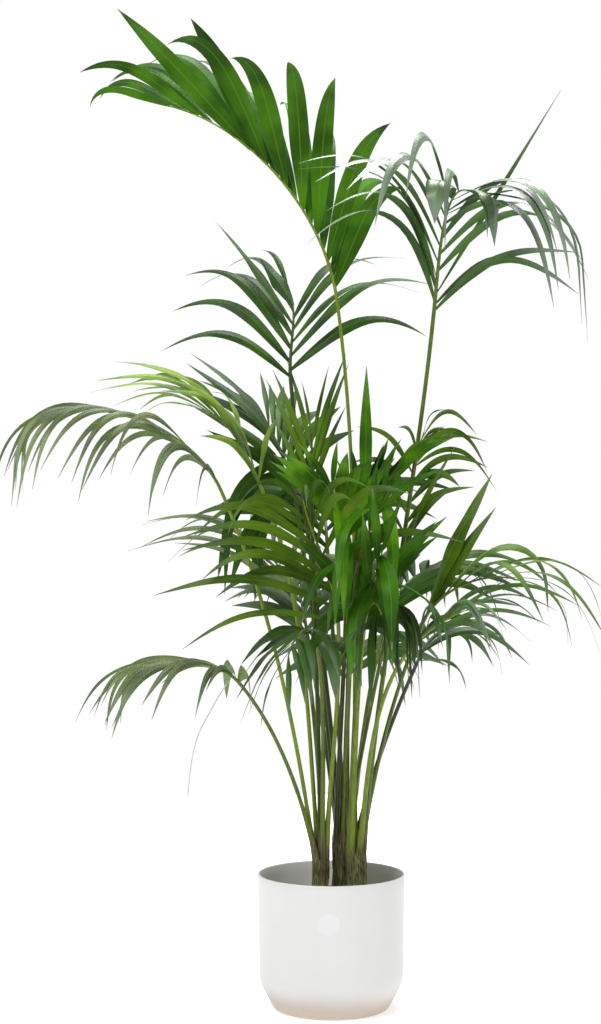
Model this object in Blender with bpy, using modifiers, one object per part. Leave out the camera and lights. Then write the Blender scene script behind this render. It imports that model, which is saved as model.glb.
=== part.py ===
"""A potted kentia palm: young palms standing together in one plain round pot.

Metres, +Z up. The origin is the centre of the pot's flat underside. The pot's front looks along -Y.
Each frond has a petiole, which rises from its palm, and a blade: a rachis with two rows of leaflets.
"""

import math
import random
from dataclasses import dataclass

import bmesh
import bpy
from mathutils import Vector
from mathutils.bvhtree import BVHTree

UP = Vector((0, 0, 1))
DOWN = Vector((0, 0, -1))
GAP = 0.0003  # clear space where one piece rests on the next

# The pot
POT_RIM_RADIUS = 0.131
POT_HEIGHT = 0.240
POT_SHOULDER_RADIUS = 0.1275  # where the straight side ends
POT_SHOULDER_HEIGHT = 0.049
POT_FOOT_RADIUS = 0.101
POT_SHOULDER_ROUNDING = 0.070
POT_FOOT_ROUNDING = 0.012
POT_WALL = 0.004
POT_FLOOR = 0.006
POT_STEPS = 30  # facets round the pot and the soil

SOIL_LEVEL = 0.195

# Petiole and rachis, as radii
NECK_RADIUS = 0.0035
TIP_RADIUS = 0.0012
PETIOLE_LEAN = 0.6
FOOT_RISE = 0.003  # upright stretch, so that the cut at the foot is level
# Shares of the length where the limbs have their points. A short stretch squares each cut at the neck.
PETIOLE_SHARES = (0, 0.25, 0.50, 0.75, 0.985, 1)
RACHIS_SHARES = (0, 0.02, 0.14, 0.28, 0.42, 0.56, 0.70, 0.85, 1)

# Leaflets. Shares are of a leaflet's own length.
SPINE_STEPS = 20
BENT_STEPS = (0, 6, 11, 15, 20)  # the spine's steps that the solid keeps
GENTLE_STEPS = (0, 8, 14, 20)  # the same for a leaflet that turns less than GENTLE_DROOP
GENTLE_DROOP = math.radians(50)
SPLAY_POWER = 1.6  # how soon the splay narrows from the neck on
FULL_WIDTH_FROM = 0.36
TAPER_FROM = 0.34
NARROW_FROM = 0.55  # of the rachis, from where leaflets are narrower
NARROWEST_SHARE = 0.5  # of the full width, at the rachis's tip
ROOT_WIDTH_SHARE = 0.22
ROOT_HALF_WIDTH = 0.003
THICKNESS_SHARE = 0.0105  # of the leaflet's length, at its root
TIP_THICKNESS_SHARE = 0.75  # of the root's thickness
KINK_SPREAD = 0.30  # how much of the leaflet the downward turn takes
CLEARANCE = 0.0008  # kept between any two leaflets
LOWEST_LEAFLET = 0.300
# A leaflet that would touch another tries these in turn:
# (degrees of lift added, splay times, length times).
TRIES = (
    (0, 1, 1), (7, 1, 1), (-7, 1, 1), (0, 1.25, 1), (0, 0.8, 1), (15, 1, 1), (-15, 1, 1),
    (10, 1.3, 1), (-10, 0.75, 1),
    (24, 1, 1), (-24, 1, 1), (0, 1, 0.75), (10, 1.2, 0.7), (-14, 0.8, 0.7), (30, 1, 0.7), (0, 1.3, 0.5),
)


@dataclass
class Palm:
    """One young palm: a short stem, from which the petioles fan out."""

    name: str
    foot: tuple  # its centre on the soil
    top: tuple  # its centre where the petioles leave it
    top_height: float
    foot_radius: float
    top_radius: float
    petiole_radius: float
    ring_radius: float  # of the petioles round the innermost one


@dataclass
class Frond:
    """One leaf of a palm. Points are in metres and angles in degrees."""

    name: str
    palm: str
    neck: tuple  # end of the petiole
    tip: tuple  # end of the rachis
    neck_tilt: float  # the rachis's rise above level at the neck
    tip_tilt: float  # the same at its tip
    pairs: int  # leaflets on each side
    length: float  # of the longest leaflet
    width: float  # of the widest leaflet
    splay: tuple  # between leaflet and rachis, at the neck and at the tip
    lift: tuple  # both rows' rise above the frond's own plane, at the neck and at the tip
    droop: tuple  # a leaflet's turn towards the ground, at the neck and at the tip
    roll: float = 0  # raises the right row and lowers the left one
    slat: float = 30  # each leaflet's twist against its neighbours, outer edge up
    heart: bool = False  # grows from the middle of its palm
    kink: float = 0.56  # where along a leaflet it bends most
    taper: float = 1.6  # higher for a blunter leaflet
    wild: float = 1  # how much the leaflets differ
    strays: tuple = ()  # single leaflets: (share, side, splay, lift, droop, length, width, slat)


PALMS = (
    Palm("left", (-0.021, -0.014), (-0.0185, -0.012), 0.262, 0.0160, 0.0145, 0.0042, 0.0095),
    Palm("right", (0.046, -0.014), (0.0440, -0.012), 0.272, 0.0200, 0.0176, 0.0044, 0.0120),
    Palm("middle", (0.017, 0.020), (0.0180, 0.016), 0.280, 0.0165, 0.0152, 0.0044, 0.0100),
    Palm("back", (0.024, 0.062), (0.0250, 0.058), 0.262, 0.0165, 0.0152, 0.0044, 0.0100),
)

FRONDS = (
    Frond("top_left", "right", (0.010, 0.020, 1.261), (-0.290, -0.018, 1.595), 82, 12,
          9, 0.32, 0.036, (42, 20), (54, 34), (60, 80), slat=-24, heart=True, kink=0.84, taper=2.4,
          strays=((0.64, -1, 8, 42, 4, 0.35, 0.034), (0.58, -1, 24, 48, 12, 0.28, 0.036))),
    Frond("top_right", "right", (0.174, -0.120, 1.225), (0.220, -0.360, 1.404), 78, -20,
          10, 0.38, 0.026, (32, 28), (16, 0), (84, 112), roll=20, slat=-30, taper=1.2, wild=0.7,
          strays=((0.10, -1, 27, 5, 0, 0.42, 0.010), (0.01, -1, 37, 0, 48, 0.30, 0.022),
                  (0.01, 1, 19, 22, 92, 0.34, 0.024), (0.06, 1, 20, 22, 98, 0.35, 0.026, -20),
                  (0.13, 1, 22, 20, 100, 0.36, 0.026, -10), (0.72, 1, 36, 16, 136, 0.14, 0.050, 6),
                  (0.92, -1, 24, 10, 140, 0.14, 0.048, 0), (0.58, -1, 40, 8, 98, 0.43, 0.013),
                  (0.86, -1, 56, 10, 106, 0.38, 0.012))),
    Frond("mid_left", "middle", (-0.072, 0.060, 1.113), (-0.078, 0.160, 1.290), 80, 50,
          7, 0.31, 0.026, (52, 14), (4, 16), (66, 50), slat=-20, heart=True, kink=0.64, taper=1.1,
          strays=((0.78, -1, 20, 0, 8, 0.14, 0.030, 10), (0.84, 1, 16, 0, 8, 0.14, 0.030, 10),
                  (0.56, -1, 40, 30, 6, 0.23, 0.026))),
    Frond("left_arch", "left", (-0.194, -0.030, 0.920), (-0.480, -0.080, 1.050), 66, -25,
          8, 0.31, 0.019, (60, 24), (-4, -4), (74, 92)),
    Frond("right_arch", "right", (0.163, -0.020, 0.690), (0.335, -0.085, 0.760), 66, -25,
          6, 0.27, 0.020, (52, 16), (30, 20), (70, 80), wild=1.3,
          strays=((0.05, -1, 10, 84, 10, 0.30, 0.034), (0.16, -1, 14, 84, 10, 0.22, 0.022, -30),
                  (0.28, -1, 20, 60, 124, 0.27, 0.024))),
    Frond("front_high", "middle", (0.026, -0.090, 0.834), (-0.001, -0.180, 0.929), 84, 62,
          6, 0.18, 0.027, (40, 14), (14, 12), (16, 16),
          strays=((0.80, -1, 80, -74, 84, 0.22, 0.022, -70),
                  (0.32, -1, 84, -70, 66, 0.20, 0.026, -70))),
    Frond("front_right", "middle", (0.045, -0.030, 0.846), (0.116, -0.120, 0.969), 78, 42,
          6, 0.17, 0.027, (30, 12), (18, 12), (14, 22),
          strays=((0.30, 1, 39, 90, 4, 0.26, 0.023, 40), (0.60, 1, 84, -60, 88, 0.22, 0.024, -40),
                  (0.24, 1, 84, -60, 82, 0.20, 0.026, -40))),
    Frond("front_mid", "right", (0.048, -0.060, 0.660), (0.085, -0.160, 0.820), 80, 64,
          5, 0.23, 0.028, (30, 12), (12, 8), (24, 16),
          strays=((0.94, 1, 84, -75, 84, 0.22, 0.030, -70),
                  (0.80, 1, 84, -75, 80, 0.21, 0.032, -70),
                  (0.64, 1, 84, -72, 76, 0.20, 0.032, -70),
                  (0.48, 1, 84, -72, 72, 0.19, 0.030, -70),
                  (0.72, -1, 70, -40, 96, 0.24, 0.028, -40))),
    Frond("low_left", "left", (-0.160, -0.050, 0.581), (-0.320, -0.095, 0.620), 50, -12,
          6, 0.24, 0.020, (60, 30), (-4, -8), (60, 66),
          strays=((0.03, -1, 70, 20, 140, 0.13, 0.028), (0.07, 1, 60, 30, 150, 0.12, 0.026))),
    Frond("left_spray", "middle", (-0.063, 0.100, 0.900), (-0.120, 0.200, 1.050), 76, 50,
          5, 0.27, 0.024, (34, 16), (18, 18), (40, 26), kink=0.40,
          strays=((0.03, -1, 104, -20, 70, 0.20, 0.026), (0.16, -1, 108, -16, 74, 0.23, 0.028),
                  (0.32, -1, 112, -10, 78, 0.28, 0.026), (0.48, -1, 112, -6, 80, 0.30, 0.026))),
    Frond("left_bright", "left", (-0.123, 0.050, 0.919), (-0.235, 0.070, 1.065), 66, 14,
          6, 0.27, 0.022, (36, 16), (18, 10), (52, 56)),
    Frond("front_left", "left", (0.011, -0.075, 0.691), (-0.050, -0.195, 0.906), 78, 50,
          7, 0.26, 0.022, (60, 24), (8, 6), (40, 108), roll=-24, wild=1.3,
          strays=((0.01, 1, 76, 6, 46, 0.29, 0.013), (0.10, 1, 66, 10, 54, 0.31, 0.017),
                  (0.24, 1, 54, 10, 60, 0.29, 0.018))),
    Frond("mid_back_left", "left", (-0.060, 0.080, 0.700), (-0.150, 0.220, 0.830), 66, 15,
          5, 0.30, 0.020, (46, 20), (12, 8), (58, 62), wild=1.4),
    Frond("right_low", "right", (0.121, -0.100, 0.628), (0.219, -0.170, 0.715), 52, 20,
          5, 0.25, 0.020, (60, 26), (16, 10), (60, 96), wild=1.6,
          strays=((0.35, -1, 30, 0, 6, 0.17, 0.007),)),
    Frond("low_right", "right", (0.150, 0.040, 0.601), (0.216, 0.120, 0.660), 60, -10,
          5, 0.21, 0.020, (58, 30), (14, 4), (76, 92), wild=1.5,
          strays=((0.36, 1, 40, 0, 112, 0.15, 0.032, -50), (0.12, 1, 60, -30, 90, 0.11, 0.026, -50))),
    Frond("front_low", "right", (0.056, -0.110, 0.690), (0.080, -0.245, 0.715), 62, -40,
          5, 0.22, 0.028, (50, 26), (-6, -20), (108, 130), kink=0.42),
    Frond("front_low_left", "left", (-0.025, -0.080, 0.650), (-0.075, -0.250, 0.645), 60, -46,
          5, 0.21, 0.024, (44, 24), (-6, -10), (40, 46), roll=-16, wild=1.3,
          strays=((0.10, -1, 60, -40, 70, 0.15, 0.030, -50),
                  (0.34, -1, 60, -50, 80, 0.15, 0.030, -50))),
    Frond("centre_up", "left", (-0.035, 0.008, 0.895), (-0.035, 0.040, 1.020), 84, 78,
          4, 0.20, 0.015, (22, 12), (10, 10), (10, 6), heart=True),
    Frond("back_right", "back", (0.100, 0.150, 0.670), (0.220, 0.340, 0.760), 62, -12,
          5, 0.26, 0.030, (52, 24), (16, 12), (62, 66)),
    Frond("back_mid", "back", (-0.004, 0.200, 0.800), (-0.020, 0.430, 0.910), 64, -10,
          5, 0.30, 0.030, (52, 24), (16, 12), (62, 66), heart=True),
    Frond("back_left", "back", (-0.040, 0.180, 0.640), (-0.080, 0.370, 0.740), 60, -10,
          5, 0.21, 0.028, (46, 22), (14, 8), (58, 60)),
    Frond("back_low", "back", (0.034, 0.190, 0.560), (0.060, 0.390, 0.610), 56, -20,
          5, 0.24, 0.028, (52, 24), (6, 4), (70, 70)),
    Frond("right_spray", "back", (0.122, 0.000, 0.796), (0.167, 0.060, 1.023), 80, 70,
          4, 0.16, 0.016, (40, 30), (10, 10), (30, 90), wild=1.3,
          strays=((0.94, 1, 46, 16, 84, 0.21, 0.009), (0.84, 1, 52, 12, 76, 0.22, 0.012),
                  (0.72, 1, 56, 8, 80, 0.19, 0.010), (0.60, 1, 56, 6, 60, 0.11, 0.016),
                  (0.10, 1, 22, 0, 6, 0.20, 0.010), (0.02, 1, 50, 0, 8, 0.12, 0.018))),
    Frond("front_fall", "middle", (0.040, -0.100, 0.760), (0.098, -0.180, 0.930), 80, 46,
          2, 0.14, 0.020, (30, 14), (10, 6), (20, 24), roll=30,
          strays=((0.06, 1, 84, -60, 74, 0.20, 0.024, -54),
                  (0.20, 1, 84, -60, 76, 0.21, 0.026, -54),
                  (0.48, 1, 84, -60, 80, 0.22, 0.026, -54),
                  (0.76, 1, 84, -60, 84, 0.22, 0.024, -54),
                  (0.42, -1, 84, -84, 80, 0.22, 0.024, 54),
                  (0.70, -1, 84, -84, 84, 0.22, 0.024, 54))),
)

COLOURS = {  # colour, roughness
    "pot_white": ((0.80, 0.79, 0.77), 0.45),
    "potting_soil": ((0.055, 0.038, 0.027), 0.95),
    "stem_sheath": ((0.20, 0.17, 0.09), 0.80),
    "petiole_green": ((0.13, 0.20, 0.04), 0.45),
    "frond_green": ((0.05, 0.16, 0.02), 0.40),
}


def clear_scene():
    for obj in list(bpy.data.objects):
        bpy.data.objects.remove(obj, do_unlink=True)


def make_material(name):
    colour, roughness = COLOURS[name]
    material = bpy.data.materials.new(name)
    material.use_nodes = True
    shader = material.node_tree.nodes["Principled BSDF"]
    shader.inputs["Base Color"].default_value = (*colour, 1)
    shader.inputs["Roughness"].default_value = roughness
    shader.inputs["Metallic"].default_value = 0
    return material


def new_object(name, data, collection, material=None):
    obj = bpy.data.objects.new(name, data)
    collection.objects.link(obj)
    if material:
        data.materials.append(material)
    return obj


def evaluated_mesh(obj):
    """A mesh of the object with its modifiers, welded where a curve's caps meet its sides."""
    graph = bpy.context.evaluated_depsgraph_get()
    mesh = bpy.data.meshes.new_from_object(obj.evaluated_get(graph))
    work = bmesh.new()
    work.from_mesh(mesh)
    bmesh.ops.remove_doubles(work, verts=work.verts, dist=1e-6)
    bmesh.ops.recalc_face_normals(work, faces=work.faces)
    work.to_mesh(mesh)
    work.free()
    return mesh


# Turned pieces


def fillet(before, corner, after, radius, steps):
    """Points of an arc that rounds a corner of a flat outline."""
    corner = Vector(corner)
    first = (Vector(before) - corner).normalized()
    second = (Vector(after) - corner).normalized()
    half = first.angle(second) / 2
    centre = corner + (first + second).normalized() * (radius / math.sin(half))
    start = (corner + first * (radius / math.tan(half)) - centre).normalized()
    end = (corner + second * (radius / math.tan(half)) - centre).normalized()
    return [centre + radius * start.slerp(end, step / steps) for step in range(steps + 1)]


def pot_outline(inset, floor, top, steps):
    """The pot's section from rim to middle of floor, as (radius, height), moved in by inset."""
    rim = (POT_RIM_RADIUS - inset, top)
    shoulder = (POT_SHOULDER_RADIUS - inset, POT_SHOULDER_HEIGHT)
    foot = (POT_FOOT_RADIUS - inset, floor)
    centre = (0, floor)
    points = [Vector(rim)]
    points += fillet(rim, shoulder, foot, POT_SHOULDER_ROUNDING - inset, steps)
    points += fillet(shoulder, foot, centre, POT_FOOT_ROUNDING - inset / 2, steps)
    return [tuple(point) for point in points] + [centre]


def turned(name, outline, steps, collection, material):
    """A solid of revolution. The outline is (radius, height) from the top down its outer side."""
    mesh = bpy.data.meshes.new(name)
    points = [(radius, 0, height) for radius, height in outline]
    mesh.from_pydata(points, [(i, i + 1) for i in range(len(points) - 1)], [])
    obj = new_object(name, mesh, collection, material)
    screw = obj.modifiers.new("turn", "SCREW")
    screw.steps = steps
    screw.render_steps = steps
    screw.use_merge_vertices = True
    screw.merge_threshold = 0.00001
    screw.use_smooth_shade = True
    return obj


def make_pot(collection, material):
    outer = pot_outline(0, 0, POT_HEIGHT, 3)
    inner = pot_outline(POT_WALL, POT_FLOOR, POT_HEIGHT, 2)
    return turned("pot", outer + inner[::-1] + [outer[0]], POT_STEPS, collection, material)


def make_soil(collection, material):
    """Fills the pot. Its radius at the surface allows for the side's slight slope."""
    outline = pot_outline(POT_WALL + 2 * GAP, POT_FLOOR + GAP, SOIL_LEVEL, 2)
    slope = (POT_RIM_RADIUS - POT_SHOULDER_RADIUS) / (POT_HEIGHT - POT_SHOULDER_HEIGHT)
    outline[0] = (outline[0][0] - slope * (POT_HEIGHT - SOIL_LEVEL), SOIL_LEVEL)
    return turned("soil", [(0, SOIL_LEVEL)] + outline, POT_STEPS, collection, material)


# Round limbs


def limb(name, points, radii, resolution, collection, material):
    """A tapering round limb through the points, with flat ends."""
    curve = bpy.data.curves.new(name, "CURVE")
    curve.dimensions = "3D"
    curve.bevel_depth = 1
    curve.bevel_resolution = resolution
    curve.use_fill_caps = True
    spline = curve.splines.new("POLY")
    spline.points.add(len(points) - 1)
    for spot, point, radius in zip(spline.points, points, radii):
        spot.co = (*point, 1)
        spot.radius = radius
    return new_object(name, curve, collection, material)


def make_stem(palm, collection, material):
    """A short stem, wider at its flat foot, that leans from foot to top."""
    foot = Vector((*palm.foot, SOIL_LEVEL + GAP))
    top = Vector((*palm.top, palm.top_height))
    flare = palm.foot_radius - palm.top_radius
    shares = (0, 0.08, 0.25, 0.5, 0.92, 1)
    points = []
    for share in shares:
        # The first and last stretches are upright, so both ends are cut level.
        lean = min(1, max(0, (share - 0.08) / 0.84))
        level = foot.z + share * (top.z - foot.z)
        points.append((*foot.lerp(top, lean).xy, level))
    radii = [palm.top_radius + flare * (1 - share) ** 2 for share in shares]
    return limb(f"stem_{palm.name}", points, radii, 2, collection, material)


def azimuth(start, end):
    return math.atan2(end[1] - start[1], end[0] - start[0])


def heading(bearing, tilt):
    """The unit vector at a bearing and a tilt above level, in radians."""
    level = math.cos(tilt)
    return Vector((level * math.cos(bearing), level * math.sin(bearing), math.sin(tilt)))


def arch(start, start_way, end, end_way, share):
    """A point on the smooth curve that leaves start along start_way and reaches end along end_way."""
    pull = (end - start).length
    s2, s3 = share**2, share**3
    return (
        start * (2 * s3 - 3 * s2 + 1)
        + start_way * pull * (s3 - 2 * s2 + share)
        + end * (3 * s2 - 2 * s3)
        + end_way * pull * (s3 - s2)
    )


def petiole_feet(palm, fronds):
    """Where each frond's petiole leaves its palm: one in the middle, the rest round it."""
    feet = {frond.name: Vector((*palm.top, 0)) for frond in fronds if frond.heart}
    ring = sorted((f for f in fronds if not f.heart), key=lambda f: azimuth(palm.top, f.neck))
    step = 2 * math.pi / max(3, len(ring))
    turn = sum(azimuth(palm.top, f.neck) - step * i for i, f in enumerate(ring)) / max(1, len(ring))
    for i, frond in enumerate(ring):
        feet[frond.name] = Vector((*palm.top, 0)) + palm.ring_radius * heading(turn + step * i, 0)
    for foot in feet.values():
        foot.z = palm.top_height + GAP
    return feet


def neck_way(frond, foot):
    return heading(azimuth(foot, frond.tip), math.radians(frond.neck_tilt))


def petiole_path(frond, foot):
    """From the foot to the neck: upright at the cut, then leaning partly towards the neck."""
    start = foot + UP * FOOT_RISE
    lean = UP.lerp((Vector(frond.neck) - foot).normalized(), PETIOLE_LEAN).normalized()
    way = neck_way(frond, foot)
    end = Vector(frond.neck) - way * GAP
    return [foot] + [arch(start, lean, end, way, share) for share in PETIOLE_SHARES]


def rachis_point(frond, foot, share):
    tip_way = heading(azimuth(foot, frond.tip), math.radians(frond.tip_tilt))
    return arch(Vector(frond.neck), neck_way(frond, foot), Vector(frond.tip), tip_way, share)


def on_rachis(frond, foot, share):
    """A point on the axis of the modelled rachis, which runs straight between its points."""
    after = next(i for i, other in enumerate(RACHIS_SHARES) if other >= share)
    ends = RACHIS_SHARES[after - 1], RACHIS_SHARES[after]
    first, last = (rachis_point(frond, foot, end) for end in ends)
    return first.lerp(last, (share - ends[0]) / (ends[1] - ends[0]))


def rachis_radius(share):
    return NECK_RADIUS + (TIP_RADIUS - NECK_RADIUS) * share


# Leaflets


def length_share(share):
    """A leaflet's length by its place along the rachis: longest in the middle, shortest at the tip."""
    if share < 0.33:
        return 0.72 + 0.28 * math.sin(math.pi / 2 * share / 0.33)
    if share < 0.68:
        return 1
    return 1 - 0.5 * (share - 0.68) / 0.32


def width_share(share, taper):
    """A leaflet's width by the share of its length: narrow at the root, then wide, then pointed."""
    rise = math.sin(math.pi / 2 * min(1, share / FULL_WIDTH_FROM))
    fall = max(0, (share - TAPER_FROM) / (1 - TAPER_FROM))
    return (ROOT_WIDTH_SHARE + (1 - ROOT_WIDTH_SHARE) * rise) * (1 - fall**taper)


def turn_down(way, angle):
    """The direction turned towards the ground, never quite to it."""
    left = way.angle(DOWN)
    turned_to = max(left - angle, min(left, math.radians(4)))
    if left < 1e-4:
        return way
    return (way * math.sin(turned_to) + DOWN * math.sin(left - turned_to)).normalized()


def leaflet_spine(root, way, edge, length, droop, kink):
    """(point, direction, width direction) at each step of a leaflet, which turns down most at its kink."""
    shares = [(i + 0.5) / SPINE_STEPS for i in range(SPINE_STEPS)]
    weights = [math.exp(-(((share - kink) / KINK_SPREAD) ** 2)) for share in shares]
    total = sum(weights)
    spine = [(root, way, edge)]
    point = root
    for weight in weights:
        way = turn_down(way, droop * weight / total)
        edge = (edge - way * edge.dot(way)).normalized()
        point = point + way * (length / SPINE_STEPS)
        spine.append((point, way, edge))
    return spine


@dataclass
class Leaflet:
    spine: list
    side: int
    width: float
    length: float
    splay: float
    taper: float
    steps: tuple


def leaflet_at(frond, foot, place, chance, change):
    """One leaflet of a frond, from its place on the rachis. chance holds its own small variations."""
    share, side, splay, lift, droop, length, width, slat = place
    lift_added, splay_times, length_times = change
    root = on_rachis(frond, foot, share)
    before, after = share - 0.01, min(1, share + 0.01)
    along = (rachis_point(frond, foot, after) - rachis_point(frond, foot, before)).normalized()
    right = along.cross(UP).normalized()
    above = right.cross(along)
    roll = math.radians(frond.roll)
    turned_right = right * math.cos(roll) + above * math.sin(roll)
    above = above * math.cos(roll) - right * math.sin(roll)
    right = turned_right
    splay = math.radians(splay * (1 + 0.06 * chance[0]) * splay_times)
    lift = math.radians(lift + 3 * chance[1] + lift_added)
    outward = right * side * math.cos(lift) + above * math.sin(lift)
    way = (along * math.cos(splay) + outward * math.sin(splay)).normalized()
    edge = (along - way * along.dot(way)).normalized()
    face = edge.cross(way) * -side
    slat = math.radians(slat + 4 * chance[2])
    edge = (edge * math.cos(slat) + face * math.sin(slat)).normalized()
    length *= (1 + 0.06 * chance[3]) * length_times
    droop = math.radians(droop) * (1 + 0.10 * chance[4])
    kink = frond.kink + 0.04 * chance[5]
    spine = leaflet_spine(root, way, edge, length, droop, kink)
    steps = GENTLE_STEPS if droop < GENTLE_DROOP else BENT_STEPS
    return Leaflet(spine, side, width, length, splay, frond.taper, steps)


def half_width(leaflet, share):
    """Half a leaflet's width at a share of its length, kept to its own side of the rachis."""
    free = ROOT_HALF_WIDTH + 0.85 * share * leaflet.length * math.sin(leaflet.splay)
    return min(free, leaflet.width / 2 * width_share(share, leaflet.taper))


def blade_sections(leaflet, margin):
    """The leaflet's cross-sections: two edges, the midrib's ridge and, with a margin, a keel below."""
    sections = []
    for step in leaflet.steps:
        point, way, edge = leaflet.spine[step]
        share = step / SPINE_STEPS
        upper = way.cross(edge) * leaflet.side
        half = half_width(leaflet, share) + margin
        thickness = THICKNESS_SHARE * leaflet.length * (1 - (1 - TIP_THICKNESS_SHARE) * share)
        section = [point - edge * half, point + edge * half, point + upper * (thickness + margin)]
        if margin:
            section.insert(1, point - upper * margin)
        sections.append(section)
    return sections


def loft(sections, name):
    """A closed mesh through sections with the same number of corners, drawn in to a point at the last."""
    work = bmesh.new()
    rings = [[work.verts.new(corner) for corner in section] for section in sections[:-1]]
    count = len(rings[0])
    apex = work.verts.new(sum(sections[-1], Vector()) / count)
    work.faces.new(rings[0])
    for ring, following in zip(rings, rings[1:]):
        for i in range(count):
            j = (i + 1) % count
            work.faces.new((ring[i], ring[j], following[j], following[i]))
    for i in range(count):
        work.faces.new((rings[-1][i], rings[-1][(i + 1) % count], apex))
    bmesh.ops.recalc_face_normals(work, faces=work.faces)
    mesh = bpy.data.meshes.new(name)
    work.to_mesh(mesh)
    work.free()
    return mesh


def tree_of(mesh):
    """A search tree of a mesh's triangles, for finding contact."""
    mesh.calc_loop_triangles()
    points = [vertex.co for vertex in mesh.vertices]
    return BVHTree.FromPolygons(points, [tuple(t.vertices) for t in mesh.loop_triangles])


def guard_of(leaflet):
    """The search tree of a leaflet with its clearance round it."""
    mesh = loft(blade_sections(leaflet, CLEARANCE), "guard")
    tree = tree_of(mesh)
    bpy.data.meshes.remove(mesh)
    return tree


def places_on(frond):
    """Where and how each leaflet grows: the strays, two rows half a space apart, and a pair at the tip."""
    space = 0.93 / frond.pairs
    spots = [(0.985, -1, 0.45), (0.992, 1, 0.45)]
    for i in range(frond.pairs):
        spots += [(0.045 + space * i, -1, 1), (0.045 + space * (i + 0.45), 1, 1)]
    places = [(*stray, frond.slat)[:8] for stray in frond.strays]
    splay_neck, splay_tip = frond.splay
    lift_neck, lift_tip = frond.lift
    droop_neck, droop_tip = frond.droop
    for share, side, narrowing in spots:
        splay = (splay_tip + (splay_neck - splay_tip) * (1 - share) ** SPLAY_POWER) * narrowing
        size = length_share(share)
        narrowed = max(0, share - NARROW_FROM) / (1 - NARROW_FROM)
        width = frond.width * (0.7 + 0.3 * size) * (1 - (1 - NARROWEST_SHARE) * narrowed)
        lift = lift_neck + (lift_tip - lift_neck) * share
        droop = droop_neck + (droop_tip - droop_neck) * share
        places.append((share, side, splay, lift, droop, frond.length * size, width, frond.slat))
    return places


def grow_leaflets(frond, foot, seed, obstacles):
    """The frond's leaflets, each clear of the obstacles, which gain their guards."""
    source = random.Random(seed)
    grown = []
    for place in places_on(frond):
        chance = [source.uniform(-1, 1) * frond.wild for _ in range(6)]
        for change in TRIES:
            leaflet = leaflet_at(frond, foot, place, chance, change)
            if min(point.z for point, _, _ in leaflet.spine) < LOWEST_LEAFLET:
                continue
            guard = guard_of(leaflet)
            if not any(guard.overlap(tree) for tree in obstacles):
                obstacles.append(guard)
                grown.append(leaflet)
                break
    return grown


def keep_largest_body(mesh):
    """Drops loose scraps and sealed hollows, which a union of many thin leaflets can leave."""
    work = bmesh.new()
    work.from_mesh(mesh)
    unseen = set(work.verts)
    bodies = []
    while unseen:
        body, edge_of_body = set(), {unseen.pop()}
        while edge_of_body:
            vertex = edge_of_body.pop()
            body.add(vertex)
            near = {edge.other_vert(vertex) for edge in vertex.link_edges} & unseen
            unseen -= near
            edge_of_body |= near
        bodies.append(body)
    bodies.sort(key=len)
    for body in bodies[:-1]:
        bmesh.ops.delete(work, geom=list(body), context="VERTS")
    work.to_mesh(mesh)
    work.free()
    return len(bodies) - 1


def fuse(rachis, leaflets, collection, material):
    """Joins a rachis and its leaflets in one closed solid."""
    name = rachis.name
    rachis.name = "rachis"
    joined = new_object(name, evaluated_mesh(rachis), collection, material)
    bpy.data.objects.remove(rachis)
    bundle = bpy.data.collections.new("leaflets")
    bpy.context.scene.collection.children.link(bundle)
    for i, leaflet in enumerate(leaflets):
        new_object(f"leaflet_{i}", loft(blade_sections(leaflet, 0), "leaflet"), bundle)
    union = joined.modifiers.new("leaflets", "BOOLEAN")
    union.operation = "UNION"
    union.operand_type = "COLLECTION"
    union.collection = bundle
    union.solver = "EXACT"
    bpy.context.view_layer.update()
    mesh = evaluated_mesh(joined)
    scraps = keep_largest_body(mesh)
    if scraps:
        print(f"{name}: {scraps} scraps dropped")
    joined.modifiers.clear()
    joined.data = mesh
    for obj in list(bundle.objects):
        bpy.data.objects.remove(obj)
    bpy.data.collections.remove(bundle)
    return joined


def main():
    clear_scene()
    collection = bpy.data.collections.new("kentia_palm")
    bpy.context.scene.collection.children.link(collection)
    materials = {name: make_material(name) for name in COLOURS}
    make_pot(collection, materials["pot_white"])
    make_soil(collection, materials["potting_soil"])

    feet = {}
    for palm in PALMS:
        make_stem(palm, collection, materials["stem_sheath"])
        feet.update(petiole_feet(palm, [frond for frond in FRONDS if frond.palm == palm.name]))
    thickness = {palm.name: palm.petiole_radius for palm in PALMS}

    petioles, rachises = [], {}
    for frond in FRONDS:
        foot = feet[frond.name]
        path = petiole_path(frond, foot)
        wide = thickness[frond.palm]
        radii = [wide] + [wide + (NECK_RADIUS - wide) * share for share in PETIOLE_SHARES]
        stalk = limb(f"petiole_{frond.name}", path, radii, 1, collection, materials["petiole_green"])
        petioles.append(stalk)
        path = [rachis_point(frond, foot, share) for share in RACHIS_SHARES]
        radii = [rachis_radius(share) for share in RACHIS_SHARES]
        green = materials["frond_green"]
        rachises[frond.name] = limb(f"frond_{frond.name}", path, radii, 0, collection, green)

    bpy.context.view_layer.update()
    limb_trees = {obj.name: tree_of(evaluated_mesh(obj)) for obj in petioles + list(rachises.values())}
    leaflet_trees = []
    for seed, frond in enumerate(FRONDS):
        own = rachises[frond.name].name
        obstacles = leaflet_trees + [tree for name, tree in limb_trees.items() if name != own]
        count = len(obstacles)
        leaflets = grow_leaflets(frond, feet[frond.name], seed, obstacles)
        leaflet_trees += obstacles[count:]
        print(f"{frond.name}: {len(leaflets)} of {2 * frond.pairs + 2} leaflets")
        fuse(rachises[frond.name], leaflets, collection, materials["frond_green"])


main()
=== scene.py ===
# %% [markdown]
# # A kentia palm in a white pot
#
# The construction script has already placed a pot, soil, four short stems, petioles and fronds as plain
# solids. This lesson loads that frame and grows the plant that you see on top of it: fine leaflets with a
# fold along the midrib, grooved petioles, fibrous sheaths, a smooth pot. Every cell does one step and prints
# what it made.

# %% Load the frame
import math
import random
from dataclasses import dataclass

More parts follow.
